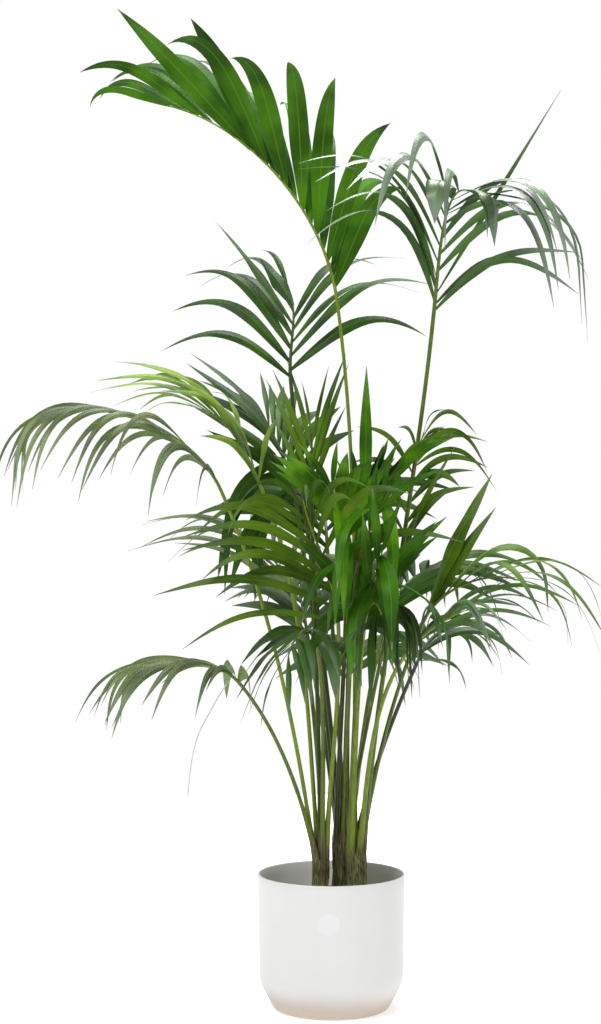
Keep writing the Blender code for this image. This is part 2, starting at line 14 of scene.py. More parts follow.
import bpy
import numpy as np
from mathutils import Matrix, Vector, noise
from mathutils.bvhtree import BVHTree


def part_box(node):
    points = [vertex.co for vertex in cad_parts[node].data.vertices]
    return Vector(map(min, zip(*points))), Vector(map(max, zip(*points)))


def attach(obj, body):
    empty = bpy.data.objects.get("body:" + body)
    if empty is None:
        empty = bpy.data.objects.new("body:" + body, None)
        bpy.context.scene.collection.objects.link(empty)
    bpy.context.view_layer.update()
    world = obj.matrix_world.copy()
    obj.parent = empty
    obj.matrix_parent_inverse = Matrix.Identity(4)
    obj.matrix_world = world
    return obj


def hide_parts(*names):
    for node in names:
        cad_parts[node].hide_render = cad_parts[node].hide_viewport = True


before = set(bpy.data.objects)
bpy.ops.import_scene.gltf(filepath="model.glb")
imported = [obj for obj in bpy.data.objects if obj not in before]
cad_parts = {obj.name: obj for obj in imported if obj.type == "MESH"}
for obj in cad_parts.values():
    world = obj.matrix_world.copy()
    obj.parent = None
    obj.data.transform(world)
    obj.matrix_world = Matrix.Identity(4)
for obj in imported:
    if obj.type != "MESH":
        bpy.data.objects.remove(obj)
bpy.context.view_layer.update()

# %% [markdown]
# ## Camera
#
# The photograph was taken level with the middle of the plant, from about four metres, with a long lens that
# keeps the pot's rim a flat ellipse. Place and lens could be tried by eye, but the rim's real size is known,
# and its width and the flatness of its ellipse in the photograph fix the distance and the focal length.

# %% Set up the camera
CAMERA_PLACE = (-0.0545, -4.05, 0.97)
CAMERA_TILT = 1.26  # degrees below level
CAMERA_LENS = 80.47  # mm
SENSOR = 36  # mm, along its long side
FARTHEST_SEEN = 50

lens = bpy.data.cameras.new("camera")
lens.lens = CAMERA_LENS
lens.sensor_width = SENSOR
lens.clip_end = FARTHEST_SEEN
camera = bpy.data.objects.new("camera", lens)
camera.location = CAMERA_PLACE
camera.rotation_euler = (math.radians(90 - CAMERA_TILT), 0, 0)
scene = bpy.context.scene
scene.collection.objects.link(camera)
scene.camera = camera
print("camera:", CAMERA_LENS, "mm")

# %% [markdown]
# ## Studio light
#
# A catalogue photograph has light from all round and a clearer light from above. One white world alone would
# look flat, and lamps alone would leave hard shadows. So the world gives the first and three area lights the
# second. The world looks white to the camera and in glossy reflections, and lights the leaves with less than
# that, so that they keep their contrast.

# %% Light the world
WORLD_LIGHT = 0.32

world = bpy.data.worlds.new("studio")
world.use_nodes = True
scene.world = world
background = world.node_tree.nodes["Background"]
background.inputs["Color"].default_value = (1, 1, 1, 1)
ray = world.node_tree.nodes.new("ShaderNodeLightPath")
seen = world.node_tree.nodes.new("ShaderNodeMath")
seen.operation = "MAXIMUM"
strength = world.node_tree.nodes.new("ShaderNodeMapRange")
strength.inputs["To Min"].default_value = WORLD_LIGHT
strength.inputs["To Max"].default_value = 1
world.node_tree.links.new(ray.outputs["Is Camera Ray"], seen.inputs[0])
world.node_tree.links.new(ray.outputs["Is Glossy Ray"], seen.inputs[1])
world.node_tree.links.new(seen.outputs[0], strength.inputs["Value"])
world.node_tree.links.new(strength.outputs["Result"], background.inputs["Strength"])
print("world light:", WORLD_LIGHT)

# %% Hang the lamps
LAMPS = (  # name, place, size in metres, watts
    ("key", (-1.6, -2.6, 4.0), 1.3, 110),
    ("fill", (2.8, -2.4, 2.2), 2.4, 14),
    ("top", (0.4, 1.0, 3.8), 1.6, 112),
)
LAMPS_AIM = Vector((-0.05, 0, 0.9))

for name, place, size, watts in LAMPS:
    lamp = bpy.data.lights.new(name, "AREA")
    lamp.size = size
    lamp.energy = watts
    holder = bpy.data.objects.new(name, lamp)
    holder.location = place
    holder.rotation_euler = (LAMPS_AIM - Vector(place)).to_track_quat("-Z", "Y").to_euler()
    scene.collection.objects.link(holder)
scene.view_settings.view_transform = "Standard"
print("lamps:", len(LAMPS))

# %% [markdown]
# ## Nodes in few words
#
# A shader is a graph. In the shader editor it is drawn by hand, and a script has to name every node and link.
# These helpers add a node, set its inputs and return its output, so that a material reads like a recipe.

# %% Helpers for shader nodes
def add_node(tree, kind, settings=None, inputs=None):
    """A new node. An input's value is a number, a colour or another node's output."""
    made = tree.nodes.new("ShaderNode" + kind)
    for name, value in (settings or {}).items():
        setattr(made, name, value)
    for name, value in (inputs or {}).items():
        if isinstance(value, bpy.types.NodeSocket):
            tree.links.new(value, made.inputs[name])
        else:
            made.inputs[name].default_value = value
    return made


def calculate(tree, operation, first, second=0.0):
    return add_node(tree, "Math", {"operation": operation}, {0: first, 1: second}).outputs[0]


def plus_times(tree, base, value, times):
    """The base, plus the value taken so many times."""
    return calculate(tree, "ADD", base, calculate(tree, "MULTIPLY", value, times))


def mask_of(tree, value, low, high):
    """0 below low, 1 above high and smooth between."""
    inputs = {"Value": value, "From Min": low, "From Max": high}
    return add_node(tree, "MapRange", {"interpolation_type": "SMOOTHSTEP"}, inputs).outputs[0]


def mix_colours(tree, share, first, second):
    return add_node(tree, "Mix", {"data_type": "RGBA"}, {0: share, 6: first, 7: second}).outputs[2]


def place_on(tree):
    """The place in metres, because every piece's object sits at the origin."""
    return add_node(tree, "TexCoord").outputs["Object"]


def noise_of(tree, place, scale, detail=3.0):
    inputs = {"Vector": place, "Scale": scale, "Detail": detail}
    return add_node(tree, "TexNoise", None, inputs).outputs["Fac"]


print("node helpers ready")

# %% [markdown]
# ## Groups
#
# Every leaf has nerves and a dry tip, whatever its green. The nodes for them could be copied into each
# material, but then a change has to be made in each. A node group is built once, with named inputs and
# outputs, and each material places it with its own values.

# %% Helper for node groups
def new_group(name, inputs, outputs):
    """An empty node group with named sockets. A number makes a float socket and a colour a colour socket."""
    group = bpy.data.node_groups.new(name, "ShaderNodeTree")
    for title, value in inputs.items():
        kind = "NodeSocketColor" if isinstance(value, tuple) else "NodeSocketFloat"
        socket = group.interface.new_socket(title, in_out="INPUT", socket_type=kind)
        socket.default_value = value
    for title, kind in outputs.items():
        group.interface.new_socket(title, in_out="OUTPUT", socket_type="NodeSocket" + kind)
    return group, group.nodes.new("NodeGroupInput").outputs, group.nodes.new("NodeGroupOutput").inputs


SURFACE_OUTPUTS = {"Color": "Color", "Roughness": "Float", "Height": "Float"}
print("group helper ready")

# %% [markdown]
# ## The leaf's surface
#
# A leaflet has a pale midrib, fine nerves that run along it, uneven green from one leaflet to the next, and a
# dry thread-like tip. Its outer half gets a painted sheen, a pale grey that stands in for the reflection of
# the white studio, more on some fronds than on others. A picture of a leaf would repeat and go soft near by,
# so nodes draw all of that, in one group. The mesh carries a map whose U runs across the blade and V from
# root to tip, and noise goes by the place in metres.

# %% Leaf group: greens
NERVES = 17  # fine nerves across a leaflet
FLECK_GREEN = (0.02, 0.05, 0.01, 1)

leaf_group, given, made = new_group(
    "leaf_surface",
    {"Green": (0.05, 0.16, 0.02, 1), "Light Green": (0.1, 0.25, 0.03, 1), "Rib": (0.2, 0.35, 0.06, 1),
     "Tip": (0.3, 0.26, 0.16, 1), "Roughness": 0.4, "Painted Sheen": 0.1},
    SURFACE_OUTPUTS,
)
tree = leaf_group
leaf_map = add_node(tree, "UVMap", {"uv_map": "along"}).outputs[0]
across, along, _ = add_node(tree, "SeparateXYZ", None, {0: leaf_map}).outputs
place = place_on(tree)
patches = noise_of(tree, place, 11.0, 2.0)
flecks = noise_of(tree, place, 170.0, 2.0)
wave = calculate(tree, "SINE", calculate(tree, "MULTIPLY", across, 2 * math.pi * NERVES))
nerves = plus_times(tree, 0.5, wave, 0.5)
green = mix_colours(tree, mask_of(tree, patches, 0.34, 0.66), given["Green"], given["Light Green"])
nerve_share = calculate(tree, "MULTIPLY", nerves, 0.16)
green = mix_colours(tree, nerve_share, green, given["Light Green"])
fleck_share = calculate(tree, "MULTIPLY", mask_of(tree, flecks, 0.45, 0.75), 0.14)
green = mix_colours(tree, fleck_share, green, FLECK_GREEN)
print("greens:", len(tree.nodes), "nodes")

# %% Leaf group: rib, painted sheen and dry tip
PAINTED_SHEEN_GREY = (0.27, 0.35, 0.26, 1)

from_middle = calculate(tree, "ABSOLUTE", calculate(tree, "SUBTRACT", across, 0.5))
rib = calculate(tree, "SUBTRACT", 1.0, mask_of(tree, from_middle, 0.012, 0.05))
green = mix_colours(tree, calculate(tree, "MULTIPLY", rib, 0.42), green, given["Rib"])
# painted sheen: the outer part of each leaflet is mixed towards a pale grey that stands in for the white
# studio's reflection
painted_sheen_share = calculate(tree, "MULTIPLY", mask_of(tree, along, 0.55, 0.88), given["Painted Sheen"])
green = mix_colours(tree, painted_sheen_share, green, PAINTED_SHEEN_GREY)
ragged_along = plus_times(tree, along, noise_of(tree, place, 34.0), 0.10)
dry = mask_of(tree, ragged_along, 0.985, 1.045)
tree.links.new(mix_colours(tree, dry, green, given["Tip"]), made["Color"])
rough = plus_times(tree, given["Roughness"], patches, 0.10)
tree.links.new(plus_times(tree, rough, dry, 0.35), made["Roughness"])
tree.links.new(plus_times(tree, rib, nerves, 0.6), made["Height"])
print("leaf group:", len(tree.nodes), "nodes")

# %% [markdown]
# ## Materials
#
# A material holds one shader, which turns colour, roughness and small bumps into light. Its plain numbers are
# set by the names of its sockets, and what changes over the surface is linked from a group or a noise.

# %% Helpers for materials
def new_material(name, **sockets):
    """A material whose shader's own sockets are set to plain numbers. Returns it, its tree and its shader."""
    material = bpy.data.materials.new(name)
    material.use_nodes = True
    tree = material.node_tree
    shader = tree.nodes["Principled BSDF"]
    for socket, value in sockets.items():
        shader.inputs[socket.replace("_", " ")].default_value = value
    return material, tree, shader


def give(tree, shader, socket, value):
    tree.links.new(value, shader.inputs[socket])


def bump_of(tree, height, strength, distance):
    inputs = {"Height": height, "Strength": strength, "Distance": distance}
    return add_node(tree, "Bump", None, inputs).outputs[0]


def give_surface(tree, shader, group, inputs, strength, distance):
    """Places a surface group with its inputs and feeds the shader from it, its height through a bump."""
    surface = tree.nodes.new("ShaderNodeGroup")
    surface.node_tree = group
    for name, value in inputs.items():
        surface.inputs[name].default_value = value
    give(tree, shader, "Base Color", surface.outputs["Color"])
    give(tree, shader, "Roughness", surface.outputs["Roughness"])
    give(tree, shader, "Normal", bump_of(tree, surface.outputs["Height"], strength, distance))


print("material helpers ready")

# %% [markdown]
# ## Tones of green
#
# Young fronds are yellow-green, old ones dark or greyish, and the underside is paler and duller than the
# upper side. The green could vary by chance from leaflet to leaflet, but a real frond has one age. So each
# frond gets one tone, which is a plain colour given to a whole spray.

# %% Leaf materials
TONES = {  # green, light green and rib on the upper side, then specular level, coat and painted sheen
    "fresh": ((0.011, 0.056, 0.0012), (0.062, 0.205, 0.005), (0.14, 0.30, 0.018), 0.10, 0.03, 0.05),
    "bright": ((0.020, 0.092, 0.0016), (0.120, 0.330, 0.008), (0.20, 0.40, 0.025), 0.09, 0.03, 0.05),
    "deep": ((0.006, 0.028, 0.0016), (0.034, 0.098, 0.004), (0.10, 0.20, 0.018), 0.16, 0.04, 0.08),
    "glossy": ((0.010, 0.044, 0.004), (0.050, 0.140, 0.018), (0.11, 0.22, 0.045), 0.7, 0.30, 0.6),
    "ashen": ((0.055, 0.090, 0.024), (0.200, 0.265, 0.105), (0.26, 0.33, 0.14), 0.35, 0.06, 0.3),
    "olive": ((0.020, 0.062, 0.0018), (0.100, 0.200, 0.007), (0.19, 0.31, 0.025), 0.16, 0.05, 0.2),
    "young": ((0.080, 0.175, 0.010), (0.270, 0.440, 0.030), (0.36, 0.52, 0.060), 0.25, 0.05, 0.15),
    "bluish": ((0.010, 0.042, 0.003), (0.044, 0.125, 0.013), (0.10, 0.19, 0.030), 0.45, 0.12, 0.25),
}
DRY_TIP = (0.26, 0.24, 0.17, 1)
UPPER_ROUGHNESS, UNDER_ROUGHNESS = 0.40, 0.58
UNDERSIDE_PALER = 0.10
UNDERSIDE_GREY = (0.14, 0.22, 0.05)


def paler(colour):
    return tuple(c + (g - c) * UNDERSIDE_PALER for c, g in zip(colour, UNDERSIDE_GREY))


def leaf_material(name, colours, roughness, level, coat, painted_sheen):
    material, tree, shader = new_material(
        name, Coat_Weight=coat, Coat_Roughness=0.25, IOR=1.4, Specular_IOR_Level=level)
    green, light, rib = ((*colour, 1) for colour in colours)
    inputs = {"Green": green, "Light Green": light, "Rib": rib, "Tip": DRY_TIP,
              "Roughness": roughness, "Painted Sheen": painted_sheen}
    give_surface(tree, shader, leaf_group, inputs, 0.35, 0.0004)
    return material


leaf_materials = {}
for tone, (*colours, level, coat, painted_sheen) in TONES.items():
    above = leaf_material(f"leaf_{tone}_upper", colours, UPPER_ROUGHNESS, level, coat, painted_sheen)
    pale_colours = [paler(colour) for colour in colours]
    below = leaf_material(f"leaf_{tone}_under", pale_colours, UNDER_ROUGHNESS, level / 2, 0, painted_sheen)
    leaf_materials[tone] = (above, below)
print("leaf materials:", 2 * len(leaf_materials))

# %% [markdown]
# ## Palms and fronds
#
# Four young palms share the pot. Chance could scatter their fronds, but that would give any palm and not this
# one. So a frond is described as a grower would describe it: where its petiole ends, where its tip hangs, how
# many leaflets, how long and broad, how wide they spread, how much they droop. The numbers are those of the
# construction script, so every frond lies where its solid is.

# %% Name the palms
@dataclass
class Palm:
    """One young palm: a short stem, from which the petioles fan out."""

    name: str
    foot: tuple  # its centre on the soil
    top: tuple  # its centre where the petioles leave it
    top_height: float
    foot_radius: float
    top_radius: float
    petiole_radius: float
    ring_radius: float  # of the petioles round the innermost one


PALMS = (
    Palm("left", (-0.021, -0.014), (-0.0185, -0.012), 0.262, 0.0160, 0.0145, 0.0042, 0.0095),
    Palm("right", (0.046, -0.014), (0.0440, -0.012), 0.272, 0.0200, 0.0176, 0.0044, 0.0120),
    Palm("middle", (0.017, 0.020), (0.0180, 0.016), 0.280, 0.0165, 0.0152, 0.0044, 0.0100),
    Palm("back", (0.024, 0.062), (0.0250, 0.058), 0.262, 0.0165, 0.0152, 0.0044, 0.0100),
)
print("palms:", len(PALMS))

# %% Say what describes a frond
@dataclass
class Frond:
    """One leaf of a palm. Points are in metres and angles in degrees."""

    name: str
    palm: str
    neck: tuple  # end of the petiole
    tip: tuple  # end of the rachis
    neck_tilt: float  # the rachis's rise above level at the neck
    tip_tilt: float  # the same at its tip
    pairs: int  # leaflets on each side
    length: float  # of the longest leaflet
    width: float  # of the widest leaflet
    splay: tuple  # between leaflet and rachis, at the neck and at the tip
    lift: tuple  # rise above the frond's own plane, at the neck and at the tip
    droop: tuple  # of a leaflet, at the neck and at the tip
    roll: float = 0  # raises the right row and lowers the left one
    slat: float = 30  # each leaflet's twist against its neighbours, outer edge up
    heart: bool = False  # grows from the middle of its palm
    strays: tuple = ()  # single leaflets: (share, side, splay, lift, droop, length, width[, slat])
    kink: float = 0.56  # where along a leaflet it bends most
    taper: float = 1.6  # higher for a blunter leaflet
    wild: float = 1  # how much the leaflets differ
    tone: str = "deep"


print("a frond has up to", len(Frond.__dataclass_fields__), "facts")

# %% Name the fronds
FRONDS = (
    Frond("top_left", "right", (0.010, 0.020, 1.261), (-0.290, -0.018, 1.595), 82, 12,
          9, 0.32, 0.036, (42, 20), (54, 34), (60, 80), slat=-24, heart=True, kink=0.84, taper=2.4,
          tone="fresh",
          strays=((0.64, -1, 8, 42, 4, 0.35, 0.034), (0.58, -1, 24, 48, 12, 0.28, 0.036))),
    Frond("top_right", "right", (0.174, -0.120, 1.225), (0.220, -0.360, 1.404), 78, -20,
          10, 0.38, 0.025, (32, 28), (16, 0), (84, 112), roll=20, slat=-30, taper=1.2, wild=0.7,
          tone="glossy",
          strays=((0.10, -1, 27, 5, 0, 0.42, 0.010), (0.01, -1, 37, 0, 48, 0.30, 0.022),
                  (0.01, 1, 19, 22, 92, 0.34, 0.024), (0.06, 1, 20, 22, 98, 0.35, 0.026, -20),
                  (0.13, 1, 22, 20, 100, 0.36, 0.026, -10), (0.72, 1, 36, 16, 136, 0.14, 0.050, 6),
                  (0.92, -1, 24, 10, 140, 0.14, 0.048, 0), (0.58, -1, 40, 8, 98, 0.43, 0.013),
                  (0.86, -1, 56, 10, 106, 0.38, 0.012))),
    Frond("mid_left", "middle", (-0.072, 0.060, 1.113), (-0.078, 0.160, 1.290), 80, 50,
          7, 0.31, 0.026, (52, 14), (4, 16), (66, 50), slat=-20, heart=True, kink=0.64, taper=1.1,
          strays=((0.78, -1, 20, 0, 8, 0.14, 0.030, 10), (0.84, 1, 16, 0, 8, 0.14, 0.030, 10),
                  (0.56, -1, 40, 30, 6, 0.23, 0.026))),
    Frond("left_arch", "left", (-0.194, -0.030, 0.920), (-0.480, -0.080, 1.050), 66, -25,
          12, 0.31, 0.012, (60, 24), (-4, -4), (74, 92), tone="ashen"),
    Frond("right_arch", "right", (0.163, -0.020, 0.690), (0.335, -0.085, 0.760), 66, -25,
          6, 0.27, 0.014, (52, 16), (30, 20), (70, 80), wild=1.3, tone="olive",
          strays=((0.05, -1, 10, 84, 10, 0.30, 0.034), (0.16, -1, 14, 84, 10, 0.22, 0.022, -30),
                  (0.28, -1, 20, 60, 124, 0.27, 0.024))),
    Frond("front_high", "middle", (0.026, -0.090, 0.834), (-0.001, -0.180, 0.929), 84, 62,
          9, 0.18, 0.025, (40, 14), (14, 12), (16, 16), tone="bright",
          strays=((0.80, -1, 80, -74, 84, 0.22, 0.022, -70),
                  (0.32, -1, 84, -70, 66, 0.20, 0.026, -70))),
    Frond("front_right", "middle", (0.045, -0.030, 0.846), (0.116, -0.120, 0.969), 78, 42,
          11, 0.17, 0.024, (30, 12), (18, 12), (14, 22), tone="bright",
          strays=((0.30, 1, 39, 90, 4, 0.26, 0.023, 40), (0.60, 1, 84, -60, 88, 0.22, 0.024, -40),
                  (0.24, 1, 84, -60, 82, 0.20, 0.026, -40))),
    Frond("front_mid", "right", (0.048, -0.060, 0.660), (0.085, -0.160, 0.820), 80, 64,
          9, 0.23, 0.026, (30, 12), (12, 8), (24, 16), tone="fresh",
          strays=((0.94, 1, 84, -75, 84, 0.22, 0.030, -70),
                  (0.80, 1, 84, -75, 80, 0.21, 0.032, -70),
                  (0.64, 1, 84, -72, 76, 0.20, 0.032, -70),
                  (0.48, 1, 84, -72, 72, 0.19, 0.030, -70),
                  (0.72, -1, 70, -40, 96, 0.24, 0.028, -40))),
    Frond("low_left", "left", (-0.160, -0.050, 0.581), (-0.320, -0.095, 0.620), 50, -12,
          8, 0.24, 0.014, (60, 30), (-4, -8), (60, 66), tone="ashen",
          strays=((0.03, -1, 70, 20, 140, 0.13, 0.028), (0.07, 1, 60, 30, 150, 0.12, 0.026))),
    Frond("left_spray", "middle", (-0.063, 0.100, 0.900), (-0.120, 0.200, 1.050), 76, 50,
          7, 0.27, 0.024, (34, 16), (18, 18), (40, 26), kink=0.40,
          strays=((0.03, -1, 104, -20, 70, 0.20, 0.026), (0.16, -1, 108, -16, 74, 0.23, 0.028),
                  (0.32, -1, 112, -10, 78, 0.28, 0.026), (0.48, -1, 112, -6, 80, 0.30, 0.026))),
    Frond("left_bright", "left", (-0.123, 0.050, 0.919), (-0.235, 0.070, 1.065), 66, 14,
          9, 0.27, 0.018, (36, 16), (18, 10), (52, 56), tone="young"),
    Frond("front_left", "left", (0.011, -0.075, 0.691), (-0.050, -0.195, 0.906), 78, 50,
          8, 0.26, 0.018, (60, 24), (8, 6), (40, 108), roll=-24, wild=1.3, tone="olive",
          strays=((0.01, 1, 76, 6, 46, 0.29, 0.013), (0.10, 1, 66, 10, 54, 0.31, 0.017),
                  (0.24, 1, 54, 10, 60, 0.29, 0.018))),
    Frond("mid_back_left", "left", (-0.060, 0.080, 0.700), (-0.150, 0.220, 0.830), 66, 15,
          8, 0.30, 0.013, (46, 20), (12, 8), (58, 62), wild=1.4, tone="ashen"),
    Frond("right_low", "right", (0.121, -0.100, 0.628), (0.219, -0.170, 0.715), 52, 20,
          8, 0.25, 0.014, (60, 26), (16, 10), (60, 96), wild=1.6, tone="bluish",
          strays=((0.35, -1, 30, 0, 6, 0.17, 0.007),)),
    Frond("low_right", "right", (0.150, 0.040, 0.601), (0.216, 0.120, 0.660), 60, -10,
          6, 0.21, 0.016, (58, 30), (14, 4), (76, 92), wild=1.5, tone="bluish",
          strays=((0.36, 1, 40, 0, 112, 0.15, 0.032, -50), (0.12, 1, 60, -30, 90, 0.11, 0.026, -50))),
    Frond("front_low", "right", (0.056, -0.110, 0.690), (0.080, -0.245, 0.715), 62, -40,
          8, 0.22, 0.028, (50, 26), (-6, -20), (108, 130), kink=0.42),
    Frond("front_low_left", "left", (-0.025, -0.080, 0.650), (-0.075, -0.250, 0.645), 60, -46,
          7, 0.21, 0.024, (44, 24), (-6, -10), (40, 46), roll=-16, wild=1.3, tone="bluish",
          strays=((0.10, -1, 60, -40, 70, 0.15, 0.030, -50),
                  (0.34, -1, 60, -50, 80, 0.15, 0.030, -50))),
    Frond("centre_up", "left", (-0.035, 0.008, 0.895), (-0.035, 0.040, 1.020), 84, 78,
          4, 0.20, 0.012, (22, 12), (10, 10), (10, 6), heart=True, tone="olive"),
    Frond("back_right", "back", (0.100, 0.150, 0.670), (0.220, 0.340, 0.760), 62, -12,
          9, 0.26, 0.025, (52, 24), (16, 12), (62, 66)),
    Frond("back_mid", "back", (-0.004, 0.200, 0.800), (-0.020, 0.430, 0.910), 64, -10,
          9, 0.30, 0.025, (52, 24), (16, 12), (62, 66), heart=True),
    Frond("back_left", "back", (-0.040, 0.180, 0.640), (-0.080, 0.370, 0.740), 60, -10,
          8, 0.21, 0.024, (46, 22), (14, 8), (58, 60), tone="bluish"),
    Frond("back_low", "back", (0.034, 0.190, 0.560), (0.060, 0.390, 0.610), 56, -20,
          8, 0.24, 0.024, (52, 24), (6, 4), (70, 70), tone="bluish"),
    Frond("right_spray", "back", (0.122, 0.000, 0.796), (0.167, 0.060, 1.023), 80, 70,
          6, 0.16, 0.013, (40, 30), (10, 10), (30, 90), wild=1.3, tone="olive",
          strays=((0.94, 1, 46, 16, 84, 0.21, 0.009), (0.84, 1, 52, 12, 76, 0.22, 0.012),
                  (0.72, 1, 56, 8, 80, 0.19, 0.010), (0.60, 1, 56, 6, 60, 0.11, 0.016),
                  (0.10, 1, 22, 0, 6, 0.20, 0.010), (0.02, 1, 50, 0, 8, 0.12, 0.018))),
    Frond("front_fall", "middle", (0.040, -0.100, 0.760), (0.098, -0.180, 0.930), 80, 46,
          3, 0.14, 0.016, (30, 14), (10, 6), (20, 24), roll=30, tone="fresh",
          strays=((0.06, 1, 84, -60, 74, 0.20, 0.024, -54),
                  (0.20, 1, 84, -60, 76, 0.21, 0.026, -54),
                  (0.48, 1, 84, -60, 80, 0.22, 0.026, -54),
                  (0.76, 1, 84, -60, 84, 0.22, 0.024, -54),
                  (0.42, -1, 84, -84, 80, 0.22, 0.024, 54),
                  (0.70, -1, 84, -84, 84, 0.22, 0.024, 54))),
)
print("fronds:", len(FRONDS))

# %% [markdown]
# ## One pile for each kind of thing
#
# Hundreds of leaflets as single objects would be slow, and joining objects afterwards is slow too. A pile
# gathers the points and faces of many closed bodies as arrays and makes one mesh of them at the end.

# %% Pile
SHARP = 50  # degrees between two faces, from which their edge stays sharp


class Pile:
    """Closed bodies of one kind, to be joined in one mesh."""

    def __init__(self):
        self.points, self.places, self.corners, self.sizes, self.kinds = [], [], [], [], []
        self.count = 0

    def add(self, points, places, shape):
        """shape is (corners, face sizes, material numbers) of a body; places are each point's U and V."""
        corners, sizes, kinds = shape
        self.points.append(points)
        self.places.append(places)
        self.corners.append(corners + self.count)
        self.sizes.append(sizes)
        self.kinds.append(kinds)
        self.count += len(points)

    def build(self, name, materials, sharp=SHARP):
        """Makes the piece, smooth but for its sharp edges, and lets it ride on the plant's one body."""
        mesh = bpy.data.meshes.new(name)
        corners, sizes = np.concatenate(self.corners), np.concatenate(self.sizes)
        mesh.vertices.add(self.count)
        mesh.vertices.foreach_set("co", np.concatenate(self.points).astype(np.float32).ravel())
        mesh.loops.add(len(corners))
        mesh.loops.foreach_set("vertex_index", corners.astype(np.int32))
        mesh.polygons.add(len(sizes))
        starts = np.concatenate(([0], np.cumsum(sizes)[:-1]))
        mesh.polygons.foreach_set("loop_start", starts.astype(np.int32))
        mesh.polygons.foreach_set("material_index", np.concatenate(self.kinds).astype(np.int32))
        mesh.update(calc_edges=True)
        layer = mesh.uv_layers.new(name="along")
        layer.uv.foreach_set("vector", np.concatenate(self.places)[corners].astype(np.float32).ravel())
        mesh.polygons.foreach_set("use_smooth", np.ones(len(sizes), bool))
        mesh.set_sharp_from_angle(angle=math.radians(sharp))
        for material in materials:
            mesh.materials.append(material)
        obj = bpy.data.objects.new(name, mesh)
        scene.collection.objects.link(obj)
        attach(obj, "root")
        print(name, "has", int((sizes - 2).sum()), "triangles")
        return obj


print("pile ready")

# %% [markdown]
# ## Tubes
#
# Stalks, leaflets, stems, pot and soil are all rows of rings, joined by faces with four corners. Blender's
# bevelled curves and its Screw modifier make tubes too, but here each ring's own shape matters, so the rings
# are worked out and only the joining is shared.

# %% Faces of tubes
def angles_round(sides):
    """Equal steps round a full turn, in radians."""
    return [2 * math.pi * side / sides for side in range(sides)]


def ring_faces(rings, sides, flipped=False, joined_up=False):
    """Faces between rings of points. Joined up, the last ring meets the first one."""
    faces = []
    for ring in range(rings if joined_up else rings - 1):
        low, high = ring * sides, (ring + 1) % rings * sides
        for side in range(sides):
            after = (side + 1) % sides
            face = (low + side, low + after, high + after, high + side)
            faces.append(face[::-1] if flipped else face)
    return faces


def capped_faces(rings, sides, flipped=False):
    """The same, with one face over the first ring and one over the last."""
    last = (rings - 1) * sides
    start, end = tuple(range(sides))[::-1], tuple(range(last, last + sides))
    if flipped:
        start, end = start[::-1], end[::-1]
    return ring_faces(rings, sides, flipped) + [start, end]


def shape_of(faces, kinds=None):
    """Faces as (corners, sizes, material numbers)."""
    corners = np.array([corner for face in faces for corner in face])
    sizes = np.array([len(face) for face in faces])
    return corners, sizes, np.array(kinds if kinds else [0] * len(faces))


print("tube faces ready")

# %% [markdown]
# ## Stalks
#
# A petiole rises from its palm and runs on as the rachis between the leaflets. A curve object could draw it,
# but the leaflets will ask for points and directions at any share of its length. It leaves upright, leans to
# the neck and arches over to the tip, so a Hermite curve with a direction at each end describes it well.

# %% Arches
def azimuth(start, end):
    return math.atan2(end[1] - start[1], end[0] - start[0])


def heading(bearing, tilt):
    """The unit vector at a bearing and a tilt above level, in radians."""
    level = math.cos(tilt)
    return Vector((level * math.cos(bearing), level * math.sin(bearing), math.sin(tilt)))


def hermite(start, start_slope, end, end_slope, share):
    """A point on the smooth curve that leaves start with one slope and reaches end with the other."""
    s2, s3 = share**2, share**3
    near = start * (2 * s3 - 3 * s2 + 1) + start_slope * (s3 - 2 * s2 + share)
    return near + end * (3 * s2 - 2 * s3) + end_slope * (s3 - s2)


def arch(start, start_way, end, end_way, share):
    """The same for two directions, which pull on the curve as far as its ends are apart."""
    pull = (end - start).length
    return hermite(start, start_way * pull, end, end_way * pull, share)


print("arch ready")

# %% Feet of the petioles
LEAST_IN_RING = 3  # so that two petioles alone don't stand opposite each other


def petiole_feet(palm):
    """Where each petiole leaves its palm: one in the middle, the rest round it by their bearings."""
    own = [frond for frond in FRONDS if frond.palm == palm.name]
    centre = Vector((*palm.top, palm.top_height))
    feet = {frond.name: centre.copy() for frond in own if frond.heart}
    ring = sorted((f for f in own if not f.heart), key=lambda f: azimuth(palm.top, f.neck))
    step = 2 * math.pi / max(LEAST_IN_RING, len(ring))
    turn = sum(azimuth(palm.top, f.neck) - step * i for i, f in enumerate(ring)) / max(1, len(ring))
    for i, frond in enumerate(ring):
        feet[frond.name] = centre + palm.ring_radius * heading(turn + step * i, 0)
    return feet


feet = {}
for palm in PALMS:
    feet.update(petiole_feet(palm))
print("feet:", len(feet))

# %% Points on petiole and rachis
UP = Vector((0, 0, 1))
PETIOLE_LEAN = 0.6  # 0 for upright at the foot, 1 for straight towards the neck
FOOT_RISE = 0.003


def bearing_of(frond):
    return azimuth(feet[frond.name], frond.tip)


def neck_way(frond):
    return heading(bearing_of(frond), math.radians(frond.neck_tilt))


def petiole_point(frond, share):
    foot = feet[frond.name]
    lean = UP.lerp((Vector(frond.neck) - foot).normalized(), PETIOLE_LEAN).normalized()
    return arch(foot + UP * FOOT_RISE, lean, Vector(frond.neck), neck_way(frond), share)


def rachis_point(frond, share):
    tip_way = heading(bearing_of(frond), math.radians(frond.tip_tilt))
    return arch(Vector(frond.neck), neck_way(frond), Vector(frond.tip), tip_way, share)


highest = max(FRONDS, key=lambda frond: rachis_point(frond, 1).z)
print("highest rachis:", highest.name)

# %% [markdown]
# ## Petiole and rachis as one grooved rod
#
# A kentia's petiole is round below and has a shallow groove above. At its foot it widens into the sheath that
# wraps the next one. A curve's round bevel can't have the groove. A ring of points with its top pressed in,
# moved along the arch, gives all of that.

# %% Rod
ROD_SIDES = 14
GROOVE = 0.34


